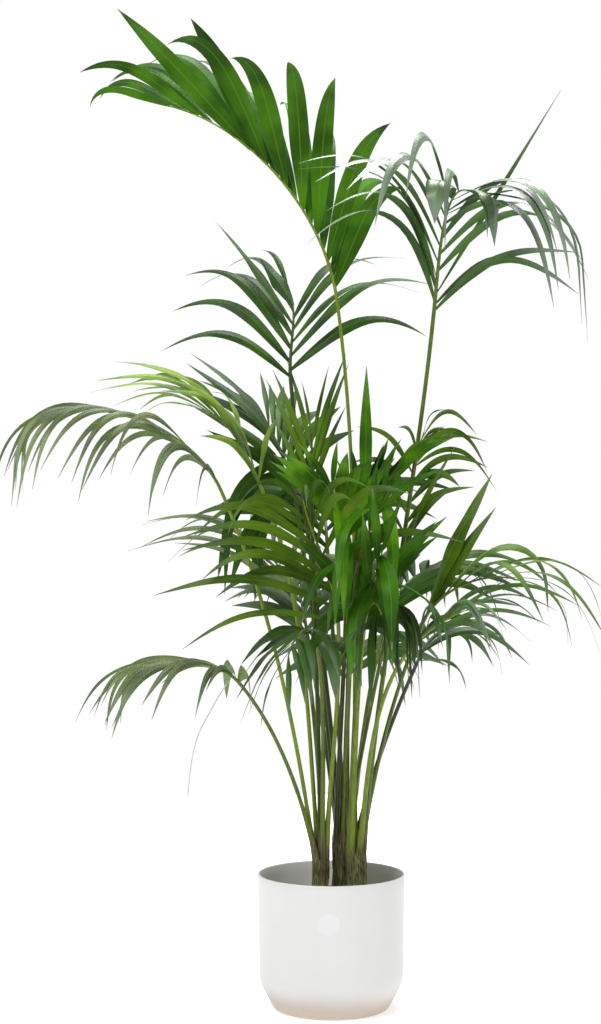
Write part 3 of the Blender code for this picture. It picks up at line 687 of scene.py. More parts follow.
def frame_along(path, bearing):
    """Directions to the right of and above each point of a path that runs in about one upright plane."""
    right = heading(bearing, 0).cross(UP)
    ways = np.gradient(np.array(path), axis=0)
    ways /= np.linalg.norm(ways, axis=1)[:, None]
    above = np.cross(np.array(right), ways)
    above /= np.linalg.norm(above, axis=1)[:, None]
    return np.cross(ways, above), above


def rod(path, radii, bearing, sides=ROD_SIDES, groove=GROOVE):
    """A closed rod: (points, places, faces). Its U mirrors round it, so that it has no seam."""
    right, above = frame_along(path, bearing)
    angles = np.array(angles_round(sides))
    level = np.cos(angles)
    rise = np.sin(angles) * (1 - groove * np.clip(np.sin(angles), 0, 1) ** 4)
    radii = np.array(radii)[:, None, None]
    offsets = right[:, None] * level[None, :, None] + above[:, None] * rise[None, :, None]
    points = (np.array(path)[:, None] + offsets * radii).reshape(-1, 3)
    across = np.abs(2 * np.arange(sides) / sides - 1)
    along = np.linspace(0, 1, len(path))
    places = np.stack(np.meshgrid(across, along), axis=-1).reshape(-1, 2)
    return points, places, capped_faces(len(path), sides)


print("rod with", ROD_SIDES, "sides ready")

# %% Paths of the stalks
NECK_RADIUS, TIP_RADIUS = 0.0035, 0.0012
PETIOLE_RINGS, RACHIS_RINGS = 40, 26
FOOT_SINK = 0.030  # the petiole starts this far down inside its stem
FOOT_FLARE, FOOT_FLARE_REACH = 0.0019, 0.075


def stalk_of(frond):
    """The points and radii of a petiole and its rachis."""
    wide = next(palm.petiole_radius for palm in PALMS if palm.name == frond.palm)
    foot = feet[frond.name]
    path, radii = [foot - UP * FOOT_SINK], [wide + FOOT_FLARE]
    for i in range(PETIOLE_RINGS):
        share = i / (PETIOLE_RINGS - 1)
        point = petiole_point(frond, share)
        swell = FOOT_FLARE * math.exp(-(((point.z - foot.z) / FOOT_FLARE_REACH) ** 2))
        path.append(point)
        radii.append(wide + (NECK_RADIUS - wide) * share + swell)
    for i in range(1, RACHIS_RINGS):
        share = i / (RACHIS_RINGS - 1)
        path.append(rachis_point(frond, share))
        radii.append(NECK_RADIUS + (TIP_RADIUS - NECK_RADIUS) * share)
    return path, radii


stalks = {frond.name: stalk_of(frond) for frond in FRONDS}
print("stalks:", len(stalks))

# %% [markdown]
# ## Stalk surface
#
# Petioles are yellow-green with darker streaks along them, olive lower down, and brown and stringy where old
# sheath clings to the foot. Each length of petiole could have its own material, but the change is gradual.
# So the height above the soil drives it, with noise to make its edge uneven.

# %% Stalk group
FOOT_LIGHT = (0.20, 0.18, 0.09, 1)

stalk_group, given, made = new_group(
    "stalk_surface",
    {"Green": (0.13, 0.20, 0.04, 1), "Streak": (0.08, 0.13, 0.03, 1), "Foot": (0.070, 0.066, 0.028, 1),
     "Foot Height": 0.31},
    SURFACE_OUTPUTS,
)
tree = stalk_group


def stretched(tree, place, scale):
    """The place scaled by its own number along each axis, so that a noise on it is drawn out."""
    return add_node(tree, "Mapping", None, {"Vector": place, "Scale": scale}).outputs[0]


place = place_on(tree)
streaks = noise_of(tree, stretched(tree, place, (420, 420, 9)), 1.0)
blotches = noise_of(tree, stretched(tree, place, (60, 60, 14)), 1.0)
height = add_node(tree, "SeparateXYZ", None, {0: place}).outputs[2]
edge = plus_times(tree, given["Foot Height"], blotches, 0.12)
old = mask_of(tree, calculate(tree, "SUBTRACT", edge, height), 0.03, 0.075)
green = mix_colours(tree, mask_of(tree, streaks, 0.35, 0.7), given["Green"], given["Streak"])
shade = mix_colours(tree, mask_of(tree, streaks, 0.4, 0.6), given["Foot"], FOOT_LIGHT)
tree.links.new(mix_colours(tree, old, green, shade), made["Color"])
tree.links.new(plus_times(tree, 0.36, old, 0.4), made["Roughness"])
tree.links.new(streaks, made["Height"])
print("stalk group:", len(tree.nodes), "nodes")

# %% Stalk materials
STALK_COLOURS = {  # green, streak and the height up to which the foot is brown
    "olive": ((0.115, 0.165, 0.014, 1), (0.060, 0.095, 0.010, 1), 0.31),
    "bright": ((0.190, 0.265, 0.014, 1), (0.100, 0.160, 0.012, 1), 0.28),
    "dark": ((0.052, 0.080, 0.008, 1), (0.026, 0.042, 0.005, 1), 0.31),
    "dusky": ((0.080, 0.075, 0.058, 1), (0.050, 0.045, 0.040, 1), 0.28),
}


def stalk_material(tone, green, streak, foot_height):
    material, tree, shader = new_material(f"stalk_{tone}", Specular_IOR_Level=0.3, IOR=1.45)
    inputs = {"Green": green, "Streak": streak, "Foot Height": foot_height}
    give_surface(tree, shader, stalk_group, inputs, 0.4, 0.0006)
    return material


stalk_materials = {tone: stalk_material(tone, *colours) for tone, colours in STALK_COLOURS.items()}
print("stalk materials:", len(stalk_materials))

# %% Build the stalks
STALK_TONES = {  # the fronds whose stalks aren't olive
    "bright": "left_arch left_bright front_left front_mid top_left front_low right_low",
    "dark": "centre_up left_spray back_left mid_left front_high front_right back_mid back_low",
    "dusky": "low_right",
}


def stalk_tone(frond):
    return next((tone for tone, names in STALK_TONES.items() if frond.name in names.split()), "olive")


for tone, material in stalk_materials.items():
    pile = Pile()
    own = [frond for frond in FRONDS if stalk_tone(frond) == tone]
    for frond in own:
        points, places, faces = rod(*stalks[frond.name], bearing_of(frond))
        pile.add(points, places, shape_of(faces))
    piece = pile.build(f"stalks_{tone}", [material])
    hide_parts(*[f"petiole_{frond.name}" for frond in own])

# %% [markdown]
# ## Where a leaflet grows
#
# Two rows of leaflets leave the rachis half a space apart. They spread wide near the neck and lie along the
# rachis at its tip, and the middle ones are the longest. An array modifier would make them all alike, so a
# rule gives each its own place, angles and size. It is the construction script's rule again.

# %% Places on the rachis
ROWS_FROM, ROWS_SHARE = 0.045, 0.93  # where the rows start on the rachis, and how much of it they take
STAGGER = 0.45  # of a space, from the left row to the right one
TIP_PAIR = ((0.985, -1), (0.992, 1))  # share and side
TIP_SPLAY = 0.45  # of the splay that the rows would have there
SPLAY_POWER = 1.6  # how soon the splay narrows from the neck on
LENGTH_AT_NECK, LENGTH_AT_TIP = 0.72, 0.5  # of the longest leaflet
LONGEST_FROM, LONGEST_TO = 0.33, 0.68  # along the rachis
FIXED_WIDTH = 0.7  # of the width, while the rest of it goes with the length
NARROW_FROM, NARROWEST_SHARE = 0.55, 0.5  # leaflets narrow from here on along the rachis


def length_share(share):
    """A leaflet's length by its place along the rachis: longest in the middle, shortest at the tip."""
    if share < LONGEST_FROM:
        return LENGTH_AT_NECK + (1 - LENGTH_AT_NECK) * math.sin(math.pi / 2 * share / LONGEST_FROM)
    past = max(0, (share - LONGEST_TO) / (1 - LONGEST_TO))
    return 1 - (1 - LENGTH_AT_TIP) * past


def between(ends, share):
    return ends[0] + (ends[1] - ends[0]) * share


def places_on(frond):
    """Where and how each leaflet grows: the strays, a pair at the tip, and two rows half a space apart."""
    space = ROWS_SHARE / frond.pairs
    spots = [(share, side, TIP_SPLAY) for share, side in TIP_PAIR]
    for i in range(frond.pairs):
        spots += [(ROWS_FROM + space * i, -1, 1), (ROWS_FROM + space * (i + STAGGER), 1, 1)]
    places = [(*stray, frond.slat)[:8] for stray in frond.strays]
    for share, side, narrowing in spots:
        splay = between(frond.splay[::-1], (1 - share) ** SPLAY_POWER) * narrowing
        lift, droop = between(frond.lift, share), between(frond.droop, share)
        size = length_share(share)
        past = max(0, (share - NARROW_FROM) / (1 - NARROW_FROM))
        narrowed = 1 - (1 - NARROWEST_SHARE) * past
        width = frond.width * (FIXED_WIDTH + (1 - FIXED_WIDTH) * size) * narrowed
        places.append((share, side, splay, lift, droop, frond.length * size, width, frond.slat))
    return places


print("leaflet places:", sum(len(places_on(frond)) for frond in FRONDS))

# %% [markdown]
# ## How a leaflet bends
#
# Each blade leaves the rachis in its own direction and bends towards the ground, most around its middle. A
# simulated cloth would find a bend too, but a different one with each setting. Here the bend is a row of
# small turns, heaviest at the kink, so the droop that a frond asks for is the droop it gets.

# %% Spine of a leaflet
DOWN = Vector((0, 0, -1))
SPINE_STEPS = 20
KINK_SPREAD = 0.30  # how much of the leaflet the downward turn takes
PLUMB = math.radians(4)  # no leaflet turns closer to the ground's direction than this
TINY_ANGLE = 1e-4


def turn_down(way, angle):
    """The direction turned towards the ground, never quite to it."""
    left = way.angle(DOWN)
    if left < TINY_ANGLE:
        return way
    turned_to = max(left - angle, min(left, PLUMB))
    return (way * math.sin(turned_to) + DOWN * math.sin(left - turned_to)).normalized()


def leaflet_spine(root, way, edge, length, droop, kink):
    """(point, direction, width direction) at each step along a leaflet."""
    weights = [math.exp(-(((i + 0.5) / SPINE_STEPS - kink) / KINK_SPREAD) ** 2) for i in range(SPINE_STEPS)]
    total = sum(weights)
    spine = [(root, way, edge)]
    point = root
    for weight in weights:
        way = turn_down(way, droop * weight / total)
        edge = (edge - way * edge.dot(way)).normalized()
        point = point + way * (length / SPINE_STEPS)
        spine.append((point, way, edge))
    return spine


print("spine of", SPINE_STEPS, "steps ready")

# %% One leaflet
RACHIS_STEP = 0.01  # of its length, to measure its direction
SPLAY_VARIES, LENGTH_VARIES, DROOP_VARIES, KINK_VARIES = 0.12, 0.09, 0.22, 0.07
LIFT_VARIES, SLAT_VARIES = 6, 9  # degrees


@dataclass
class Leaflet:
    spine: list
    side: int
    width: float
    length: float
    splay: float
    taper: float
    chance: list


def rachis_frame(frond, share):
    """The rachis's direction, and those to the right of it and above it, turned by the frond's roll."""
    before, after = share - RACHIS_STEP, min(1, share + RACHIS_STEP)
    along = (rachis_point(frond, after) - rachis_point(frond, before)).normalized()
    right = along.cross(UP).normalized()
    above = right.cross(along)
    cos, sin = math.cos(math.radians(frond.roll)), math.sin(math.radians(frond.roll))
    return along, right * cos + above * sin, above * cos - right * sin


def leaflet_at(frond, place, chance, change):
    """One leaflet, from its place on the rachis, its own variations and a change to make it fit."""
    share, side, splay, lift, droop, length, width, slat = place
    lift_added, splay_times, length_times = change
    splay_chance, lift_chance, slat_chance, length_chance, droop_chance, kink_chance = chance
    along, right, above = rachis_frame(frond, share)
    splay = math.radians(splay * (1 + SPLAY_VARIES * splay_chance) * splay_times)
    lift = math.radians(lift + LIFT_VARIES * lift_chance + lift_added)
    outward = right * side * math.cos(lift) + above * math.sin(lift)
    way = (along * math.cos(splay) + outward * math.sin(splay)).normalized()
    edge = (along - way * along.dot(way)).normalized()
    face = edge.cross(way) * -side
    slat = math.radians(slat + SLAT_VARIES * slat_chance)
    edge = (edge * math.cos(slat) + face * math.sin(slat)).normalized()
    length *= (1 + LENGTH_VARIES * length_chance) * length_times
    droop = math.radians(droop) * (1 + DROOP_VARIES * droop_chance)
    kink = frond.kink + KINK_VARIES * kink_chance
    spine = leaflet_spine(rachis_point(frond, share), way, edge, length, droop, kink)
    return Leaflet(spine, side, width, length, splay, frond.taper, chance)


print("leaflet rule ready")

# %% [markdown]
# ## Room for each leaflet
#
# Real leaflets push each other aside. A physics run could do the same, but it would take them away from their
# solids. So each one tries its natural direction first. If a slim guard body round it touches a stalk or
# another leaflet, it tries to lift, spread or shorten a little, and gives up in the end.

# %% Guards
FULL_WIDTH_FROM, TAPER_FROM = 0.46, 0.42  # along a leaflet
ROOT_WIDTH_SHARE, ROOT_HALF_WIDTH = 0.22, 0.003
ROOM_USED = 0.85  # of the room between a leaflet's midrib and the rachis
FOLD = 0.20  # height of the midrib above the edges, as a share of half the width
GUARD_STEPS = (0, 4, 8, 11, 14, 17, 20)
GUARD_CLEARANCE = 0.0003


def width_share(share, taper):
    """A leaflet's width by the share of its length: narrow at the root, then wide, then pointed."""
    rise = math.sin(math.pi / 2 * min(1, share / FULL_WIDTH_FROM))
    fall = max(0, (share - TAPER_FROM) / (1 - TAPER_FROM))
    return (ROOT_WIDTH_SHARE + (1 - ROOT_WIDTH_SHARE) * rise) * (1 - fall**taper)


def half_width(leaflet, share):
    """Half a leaflet's width at a share of its length, kept to its own side of the rachis."""
    free = ROOT_HALF_WIDTH + ROOM_USED * share * leaflet.length * math.sin(leaflet.splay)
    return min(free, leaflet.width / 2 * width_share(share, leaflet.taper))


def guard_of(leaflet):
    """The search tree of a slim tube round a leaflet: its edges, the midrib's ridge and a keel below."""
    points = []
    for step in GUARD_STEPS:
        point, way, edge = leaflet.spine[step]
        half = half_width(leaflet, step / SPINE_STEPS) + GUARD_CLEARANCE
        upper = way.cross(edge) * leaflet.side
        ridge = upper * (FOLD * half + GUARD_CLEARANCE)
        points += [point - edge * half, point - upper * GUARD_CLEARANCE, point + edge * half, point + ridge]
    return BVHTree.FromPolygons(points, ring_faces(len(GUARD_STEPS), 4))


def stalk_guard(frond):
    """The search tree of a frond's stalk, with fewer rings and sides."""
    path, radii = stalks[frond.name]
    points, _, faces = rod(path[::2], radii[::2], bearing_of(frond), sides=6, groove=0)
    return BVHTree.FromPolygons([Vector(point) for point in points], faces)


stalk_guards = {frond.name: stalk_guard(frond) for frond in FRONDS}
print("stalk guards:", len(stalk_guards))

# %% Grow the leaflets
TRIES = (  # degrees of lift added, splay times, length times
    (0, 1, 1), (7, 1, 1), (-7, 1, 1), (0, 1.25, 1), (0, 0.8, 1), (15, 1, 1), (-15, 1, 1),
    (10, 1.3, 1), (-10, 0.75, 1), (24, 1, 1), (-24, 1, 1),
    (0, 1, 0.75), (10, 1.2, 0.7), (-14, 0.8, 0.7), (30, 1, 0.7), (0, 1.3, 0.5),
)
CHANCES = 6  # numbers drawn for each leaflet
LOWEST_LEAFLET = 0.300


def grow_leaflets(frond, seed, obstacles):
    """The frond's leaflets, each clear of the obstacles, which gain their guards."""
    source = random.Random(seed)
    grown = []
    for place in places_on(frond):
        chance = [source.uniform(-1, 1) * frond.wild for _ in range(CHANCES)]
        for change in TRIES:
            leaflet = leaflet_at(frond, place, chance, change)
            if min(point.z for point, _, _ in leaflet.spine) < LOWEST_LEAFLET:
                continue
            guard = guard_of(leaflet)
            if not any(guard.overlap(obstacle) for obstacle in obstacles):
                obstacles.append(guard)
                grown.append(leaflet)
                break
    return grown


guards = []
leaflets = {}
for seed, frond in enumerate(FRONDS):
    others = [guard for name, guard in stalk_guards.items() if name != frond.name]
    obstacles = guards + others
    count = len(obstacles)
    leaflets[frond.name] = grow_leaflets(frond, seed, obstacles)
    guards += obstacles[count:]
print("leaflets:", len(guards), "of", sum(len(places_on(frond)) for frond in FRONDS))

# %% [markdown]
# ## The blade
#
# A leaflet is folded like a low roof, with the midrib as its ridge. The fold opens towards the tip, the
# edges wave a little and the outer half twists. A flat strip with a bump would do from afar, but the two
# slopes of a real fold catch the light apart. Seven points across the upper side and five below it make one
# thin closed body.

# %% Faces of a blade
ACROSS = np.array((-1, -0.60, -0.15, 0, 0.15, 0.60, 1))  # the upper points, as shares of half the width
UPPER_STRIPS = len(ACROSS) - 1
BLADE_SIDES = 2 * UPPER_STRIPS


def blade_faces(flipped):
    """Faces and material numbers of a blade: sections of seven upper and five lower points."""
    rings = SPINE_STEPS + 1
    faces = ring_faces(rings, BLADE_SIDES, flipped)
    kinds = [0 if i % BLADE_SIDES < UPPER_STRIPS else 1 for i in range(len(faces))]
    cap = [(0, 1, 11), (1, 2, 10, 11), (2, 3, 9, 10), (3, 4, 8, 9), (4, 5, 7, 8), (5, 6, 7)]
    last = (rings - 1) * BLADE_SIDES
    tip = [tuple(last + corner for corner in face) for face in cap]
    start = [face[::-1] for face in cap]
    if flipped:
        tip, start = [face[::-1] for face in tip], cap
    return shape_of(faces + start + tip, kinds + [1] * len(cap) * 2)


BLADE_SHAPES = {1: blade_faces(True), -1: blade_faces(False)}
print("faces of a blade:", len(BLADE_SHAPES[1][1]))

# %% Points of a blade
BLADE_THICKNESS, RIB_THICKNESS = 0.0005, 0.0011
THINNER_AT_TIP = 0.7  # of the thickness, lost from root to tip
TIP_HALF_WIDTH = 0.0003
FOLD_AT_ROOT = 1.5  # times the usual fold, and one less at the tip
ROOF_CURVE = 1.2  # 1 would make straight slopes
WAVES, WAVE_SHARE = 2.5, 0.10  # along an edge, and their height as a share of half the width
WAVE_AHEAD = 0.25  # of a wave, by which one edge runs ahead of the midrib and the other behind
TWIST = 28  # degrees at the tip, at most


def blade_rise(leaflet, shares):
    """Height of each upper point above the blade's plane, as a share of half the width there."""
    reach = np.abs(ACROSS)
    roof = FOLD * (FOLD_AT_ROOT - shares) * (1 - reach**ROOF_CURVE)
    wave = np.sin(2 * math.pi * (WAVES * shares + leaflet.chance[0] + WAVE_AHEAD * np.sign(ACROSS)))
    return roof + WAVE_SHARE * wave * reach**2 * np.sin(math.pi * shares)


def blade(leaflet):
    """Points and places of a leaflet's blade, folded, waved and twisted round its spine."""
    points, ways, edges = (np.array([step[i] for step in leaflet.spine]) for i in range(3))
    shares = np.linspace(0, 1, SPINE_STEPS + 1)[:, None]
    halves = np.array([half_width(leaflet, share) for share in shares[:, 0]])[:, None]
    halves[-1] = TIP_HALF_WIDTH
    uppers = np.cross(ways, edges) * leaflet.side
    twist = math.radians(TWIST) * leaflet.chance[1] * shares**2
    cos, sin = np.cos(twist), np.sin(twist)
    edges, uppers = edges * cos + uppers * sin, uppers * cos - edges * sin
    rise = blade_rise(leaflet, shares)
    offsets = edges[:, None] * (ACROSS * halves)[..., None]
    top = points[:, None] + offsets + uppers[:, None] * (rise * halves)[..., None]
    thick = np.where(ACROSS == 0, RIB_THICKNESS, BLADE_THICKNESS) * (1 - THINNER_AT_TIP * shares)
    low = top - uppers[:, None] * thick[..., None]
    section = np.concatenate([top, low[:, 5:0:-1]], axis=1)
    across = (ACROSS + 1) / 2
    across = np.concatenate([across, across[5:0:-1]])
    places = np.stack(np.meshgrid(across, shares), axis=-1)
    return section.reshape(-1, 3), places.reshape(-1, 2)


print("blade ready")

# %% Build the leaflets
for tone in TONES:
    pile = Pile()
    own = [frond for frond in FRONDS if frond.tone == tone]
    for frond in own:
        for leaflet in leaflets[frond.name]:
            pile.add(*blade(leaflet), BLADE_SHAPES[leaflet.side])
    piece = pile.build(f"leaflets_{tone}", leaf_materials[tone])
    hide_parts(*[f"frond_{frond.name}" for frond in own])

# %% [markdown]
# ## Stems
#
# The young palms stand on short stems wrapped in the fibrous remains of old sheaths. A smooth cone with a
# bump would keep a smooth outline, which shows on so small a stem. A tube with fine ridges along it and
# stepped, spiralling edges has that relief in the mesh itself.

# %% Stem material
SHEATH_BROWNS = (0.056, 0.055, 0.020, 1), (0.31, 0.305, 0.140, 1)
SHEATH_OLIVES = (0.054, 0.074, 0.020, 1), (0.20, 0.240, 0.085, 1)

bark, tree, shader = new_material("stem_sheath", IOR=1.4, Roughness=0.85)
place = place_on(tree)
fibres = noise_of(tree, stretched(tree, place, (520, 520, 22)), 1.0, 4.0)
stains = noise_of(tree, stretched(tree, place, (70, 70, 30)), 1.0, 3.0)
brown = mix_colours(tree, mask_of(tree, fibres, 0.36, 0.64), *SHEATH_BROWNS)
olive = mix_colours(tree, mask_of(tree, fibres, 0.4, 0.6), *SHEATH_OLIVES)
give(tree, shader, "Base Color", mix_colours(tree, mask_of(tree, stains, 0.42, 0.6), brown, olive))
give(tree, shader, "Normal", bump_of(tree, fibres, 0.7, 0.0012))
print("stem material:", len(tree.nodes), "nodes")

# %% Build the stems
SOIL_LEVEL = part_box("soil")[1].z
STEM_SIDES, STEM_RINGS = 72, 40
STEM_SINK, STEM_RISE = 0.004, 0.012  # into the soil, and up between the petioles
SHEATH_EDGES, SHEATH_TURNS = 3, 2.2  # spiralling edges of old sheaths; steps passed from foot to top
SHEATH_STEP = 0.0016
RIDGE_DEPTH, RIDGES_ROUND, RIDGES_ALONG = 0.0007, 14.4, 1.2  # and the noise's scale round and along the stem
RIDGES_APART = 20  # how far the noise moves on for a stem that stands a metre further right
DRAWN_FROM, DRAWN_LEAST = 0.8, 0.02  # where the top starts to close, and the square of what stays open


def stem_radius(palm, share, angle):
    """A stem's radius at a share of its height, with ridges and sheath edges, its top drawn in."""
    plain = palm.top_radius + (palm.foot_radius - palm.top_radius) * (1 - share) ** 2
    drawn = math.sqrt(max(DRAWN_LEAST, 1 - max(0, (share - DRAWN_FROM) / (1 - DRAWN_FROM)) ** 2))
    spiral = (SHEATH_EDGES * angle / (2 * math.pi) + SHEATH_TURNS * share) % 1
    along = RIDGES_ALONG * share + RIDGES_APART * palm.foot[0]
    ridge = noise.noise(Vector((RIDGES_ROUND * math.cos(angle), RIDGES_ROUND * math.sin(angle), along)))
    return (plain - SHEATH_STEP * spiral + RIDGE_DEPTH * ridge) * drawn


def unmapped(points, faces, kinds=None):
    """A body whose materials go by the place alone, so that it needs no U and V."""
    return np.array(points), np.zeros((len(points), 2)), shape_of(faces, kinds)


def stem_body(palm):
    """A stem from just inside the soil up between the petioles."""
    foot = Vector((*palm.foot, SOIL_LEVEL - STEM_SINK))
    top = Vector((*palm.top, palm.top_height + STEM_RISE))
    points = []
    for ring in range(STEM_RINGS):
        share = ring / (STEM_RINGS - 1)
        for angle in angles_round(STEM_SIDES):
            points.append(foot.lerp(top, share) + stem_radius(palm, share, angle) * heading(angle, 0))
    return unmapped(points, capped_faces(STEM_RINGS, STEM_SIDES))


pile = Pile()
for palm in PALMS:
    pile.add(*stem_body(palm))
stems = pile.build("stems", [bark], sharp=60)
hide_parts(*[f"stem_{palm.name}" for palm in PALMS])

# %% [markdown]
# ## Loose fibres
#
# Old sheaths fray into brown threads round the foot of the petioles. Hair particles could draw them, but they
# aren't part of a mesh, and an export would lose them. So each thread is a thin rod along a wandering curve.

# %% Threads
THREAD_TAPER = 0.6  # of the radius, lost from end to end


def smooth_path(corners, steps):
    """Points on a smooth curve through the corners."""
    corners = np.array(corners, float)
    slopes = np.gradient(corners, axis=0)
    path = []
    for i in range(len(corners) - 1):
        stretch = corners[i], slopes[i], corners[i + 1], slopes[i + 1]
        path += [hermite(*stretch, step / steps) for step in range(steps)]
    return np.array(path + [corners[-1]])


def thread(corners, steps, radius):
    """A thin tapering rod through the corners."""
    path = smooth_path(corners, steps)
    radii = radius * (1 - THREAD_TAPER * np.linspace(0, 1, len(path)) ** 2)
    points, places, faces = rod(path, radii, azimuth(path[0], path[-1]), sides=5, groove=0)
    return points, places, shape_of(faces)


print("threads ready")

# %% Sheath fibres
FIBRES_PER_PALM = 34
FIBRE_RADIUS, FIBRE_THICKNESSES = 0.00038, (0.7, 1.5)  # and the least and the most times that
FIBRE_OVER_SOIL, FIBRE_UNDER_TOP = 0.004, 0.012  # where it starts on the stem
FIBRE_RISE = (0.03, 0.075)
FIBRE_TURN, FIBRE_WOBBLE = 0.7, 0.05  # radians round the stem
FIBRE_OFF_STEM, FIBRE_LOOSE = 0.0006, 0.0012
FIBRE_CORNERS, FIBRE_STEPS = 4, 4
FIBRE_BROWNS = (0.10, 0.06, 0.03, 1), (0.30, 0.20, 0.11, 1)

source = random.Random(5)


def fibre_corners(palm):
    """Corners of a thread that climbs a stem and comes loose from it on the way."""
    angle = source.uniform(0, 2 * math.pi)
    low = source.uniform(SOIL_LEVEL + FIBRE_OVER_SOIL, palm.top_height - FIBRE_UNDER_TOP)
    rise = source.uniform(*FIBRE_RISE)
    turn = source.uniform(-FIBRE_TURN, FIBRE_TURN)
    corners = []
    for i in range(FIBRE_CORNERS):
        share = i / (FIBRE_CORNERS - 1)
        radius = palm.top_radius + FIBRE_OFF_STEM + source.uniform(0, FIBRE_LOOSE) * share
        bearing = angle + turn * share + source.uniform(-FIBRE_WOBBLE, FIBRE_WOBBLE)
        corners.append(Vector((*palm.top, low + rise * share)) + radius * heading(bearing, 0))
    return corners


fibre, tree, shader = new_material("fibre", Roughness=0.8, IOR=1.4)
mottle = noise_of(tree, place_on(tree), 60.0)
give(tree, shader, "Base Color", mix_colours(tree, mask_of(tree, mottle, 0.4, 0.6), *FIBRE_BROWNS))
pile = Pile()
for palm in PALMS:
    for _ in range(FIBRES_PER_PALM):
        corners = fibre_corners(palm)
        pile.add(*thread(corners, FIBRE_STEPS, FIBRE_RADIUS * source.uniform(*FIBRE_THICKNESSES)))
sheath_fibres = pile.build("sheath_fibres", [fibre])

# %% [markdown]
# ## A dry strand
#
# One long dry strand hangs from the lowest frond on the left, as a shrivelled leaflet does. Chance wouldn't
# put it there, so it is a thread through five points that were read off the photograph, paler and thicker
# than the fibres.

# %% Dry strand
STRAND = ((-0.180, -0.066, 0.588), (-0.206, -0.070, 0.545), (-0.238, -0.070, 0.478), (-0.252, -0.070, 0.38),
          (-0.258, -0.070, 0.291))
STRAND_RADIUS, STRAND_STEPS = 0.0009, 8
STRAND_GREYS = (0.42, 0.42, 0.36, 1), (0.62, 0.60, 0.52, 1)


def lone_piece(name, body, materials, sharp=SHARP):
    """A piece of one closed body."""
    pile = Pile()
    pile.add(*body)
    return pile.build(name, materials, sharp)


pale, tree, shader = new_material("dry_strand", Roughness=0.7, IOR=1.4)
mottle = noise_of(tree, place_on(tree), 30.0)
give(tree, shader, "Base Color", mix_colours(tree, mottle, *STRAND_GREYS))
strand = lone_piece("dry_strand", thread(STRAND, STRAND_STEPS, STRAND_RADIUS), [pale])

# %% [markdown]
# ## Pot
#
# The pot is a plain turned form: a thin rounded rim, a side that is almost straight, a long soft shoulder and
# a narrower flat foot. The solid is already that shape, but with few facets. Turning a fine outline, with the
# same rim and height, gives a smooth wall of even thickness.

# %% Pot outline
POT_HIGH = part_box("pot")[1]
POT_RIM_RADIUS, POT_HEIGHT = POT_HIGH.x, POT_HIGH.z
POT_SHOULDER_RADIUS, POT_SHOULDER_HEIGHT = 0.1275, 0.049  # where the straight side ends
POT_FOOT_RADIUS = 0.101
POT_SHOULDER_ROUNDING, POT_FOOT_ROUNDING = 0.070, 0.012
POT_WALL, POT_FLOOR = 0.004, 0.006
POT_PINHOLE = 0.0005  # in the middle of the floor, where outer and inner outline meet
RIM_ROUNDING = POT_WALL / 2
SIDE_STEPS, SHOULDER_STEPS, FOOT_STEPS, RIM_STEP = 12, 18, 8, 30  # the last in degrees


def fillet(before, corner, after, radius, steps):
    """Points of an arc that rounds a corner of a flat outline."""
    corner = Vector(corner)
    first = (Vector(before) - corner).normalized()
    second = (Vector(after) - corner).normalized()
    half = first.angle(second) / 2
    centre = corner + (first + second).normalized() * (radius / math.sin(half))
    start = (corner + first * (radius / math.tan(half)) - centre).normalized()
    end = (corner + second * (radius / math.tan(half)) - centre).normalized()
    return [centre + radius * start.slerp(end, step / steps) for step in range(steps + 1)]


def wall_outline(inset, floor, top):
    """The wall from top to floor as (radius, height), moved in by inset."""
    rim = Vector((POT_RIM_RADIUS - inset, top))
    shoulder = (POT_SHOULDER_RADIUS - inset, POT_SHOULDER_HEIGHT)
    foot = (POT_FOOT_RADIUS - inset, floor)
    points = [rim.lerp(Vector(shoulder), i / SIDE_STEPS) for i in range(SIDE_STEPS // 2 + 1)]
    points += fillet(rim, shoulder, foot, POT_SHOULDER_ROUNDING - inset, SHOULDER_STEPS)
    points += fillet(shoulder, foot, (0, floor), POT_FOOT_ROUNDING - inset / 2, FOOT_STEPS)
    return [(point.x, point.y) for point in points]


wall_top = POT_HEIGHT - RIM_ROUNDING
rim_middle = POT_RIM_RADIUS - RIM_ROUNDING
rim_angles = [math.radians(angle) for angle in range(180 - RIM_STEP, 0, -RIM_STEP)]
rim = [(rim_middle + RIM_ROUNDING * math.cos(a), wall_top + RIM_ROUNDING * math.sin(a)) for a in rim_angles]
outer = rim + wall_outline(0, 0, wall_top) + [(POT_PINHOLE, 0)]
inner = [(POT_PINHOLE, POT_FLOOR)] + wall_outline(POT_WALL, POT_FLOOR, wall_top)[::-1]
print("pot outline:", len(outer + inner), "points")

# %% [markdown]
# ## Glaze
#
# The glaze is a warm white and matt. Towards the foot it fades to a sand colour, a painted reflection of warm
# light from the floor on the wall that turns under. Two materials with an edge between them would look
# painted, so one material fades by the height, with a slightly uneven edge. A fine grain keeps the light from
# looking like plastic.

# %% Pot material
GLAZE_WHITES = (0.69, 0.685, 0.675, 1), (0.74, 0.735, 0.73, 1)
# painted reflection: sand colours at the foot stand in for warm light reflected up from the floor
REFLECTED_FLOOR_SANDS = (0.55, 0.465, 0.395, 1), (0.60, 0.515, 0.44, 1)
REFLECTION_FROM, REFLECTION_TO = 0.062, 0.016  # heights where the painted floor reflection begins and where it is full
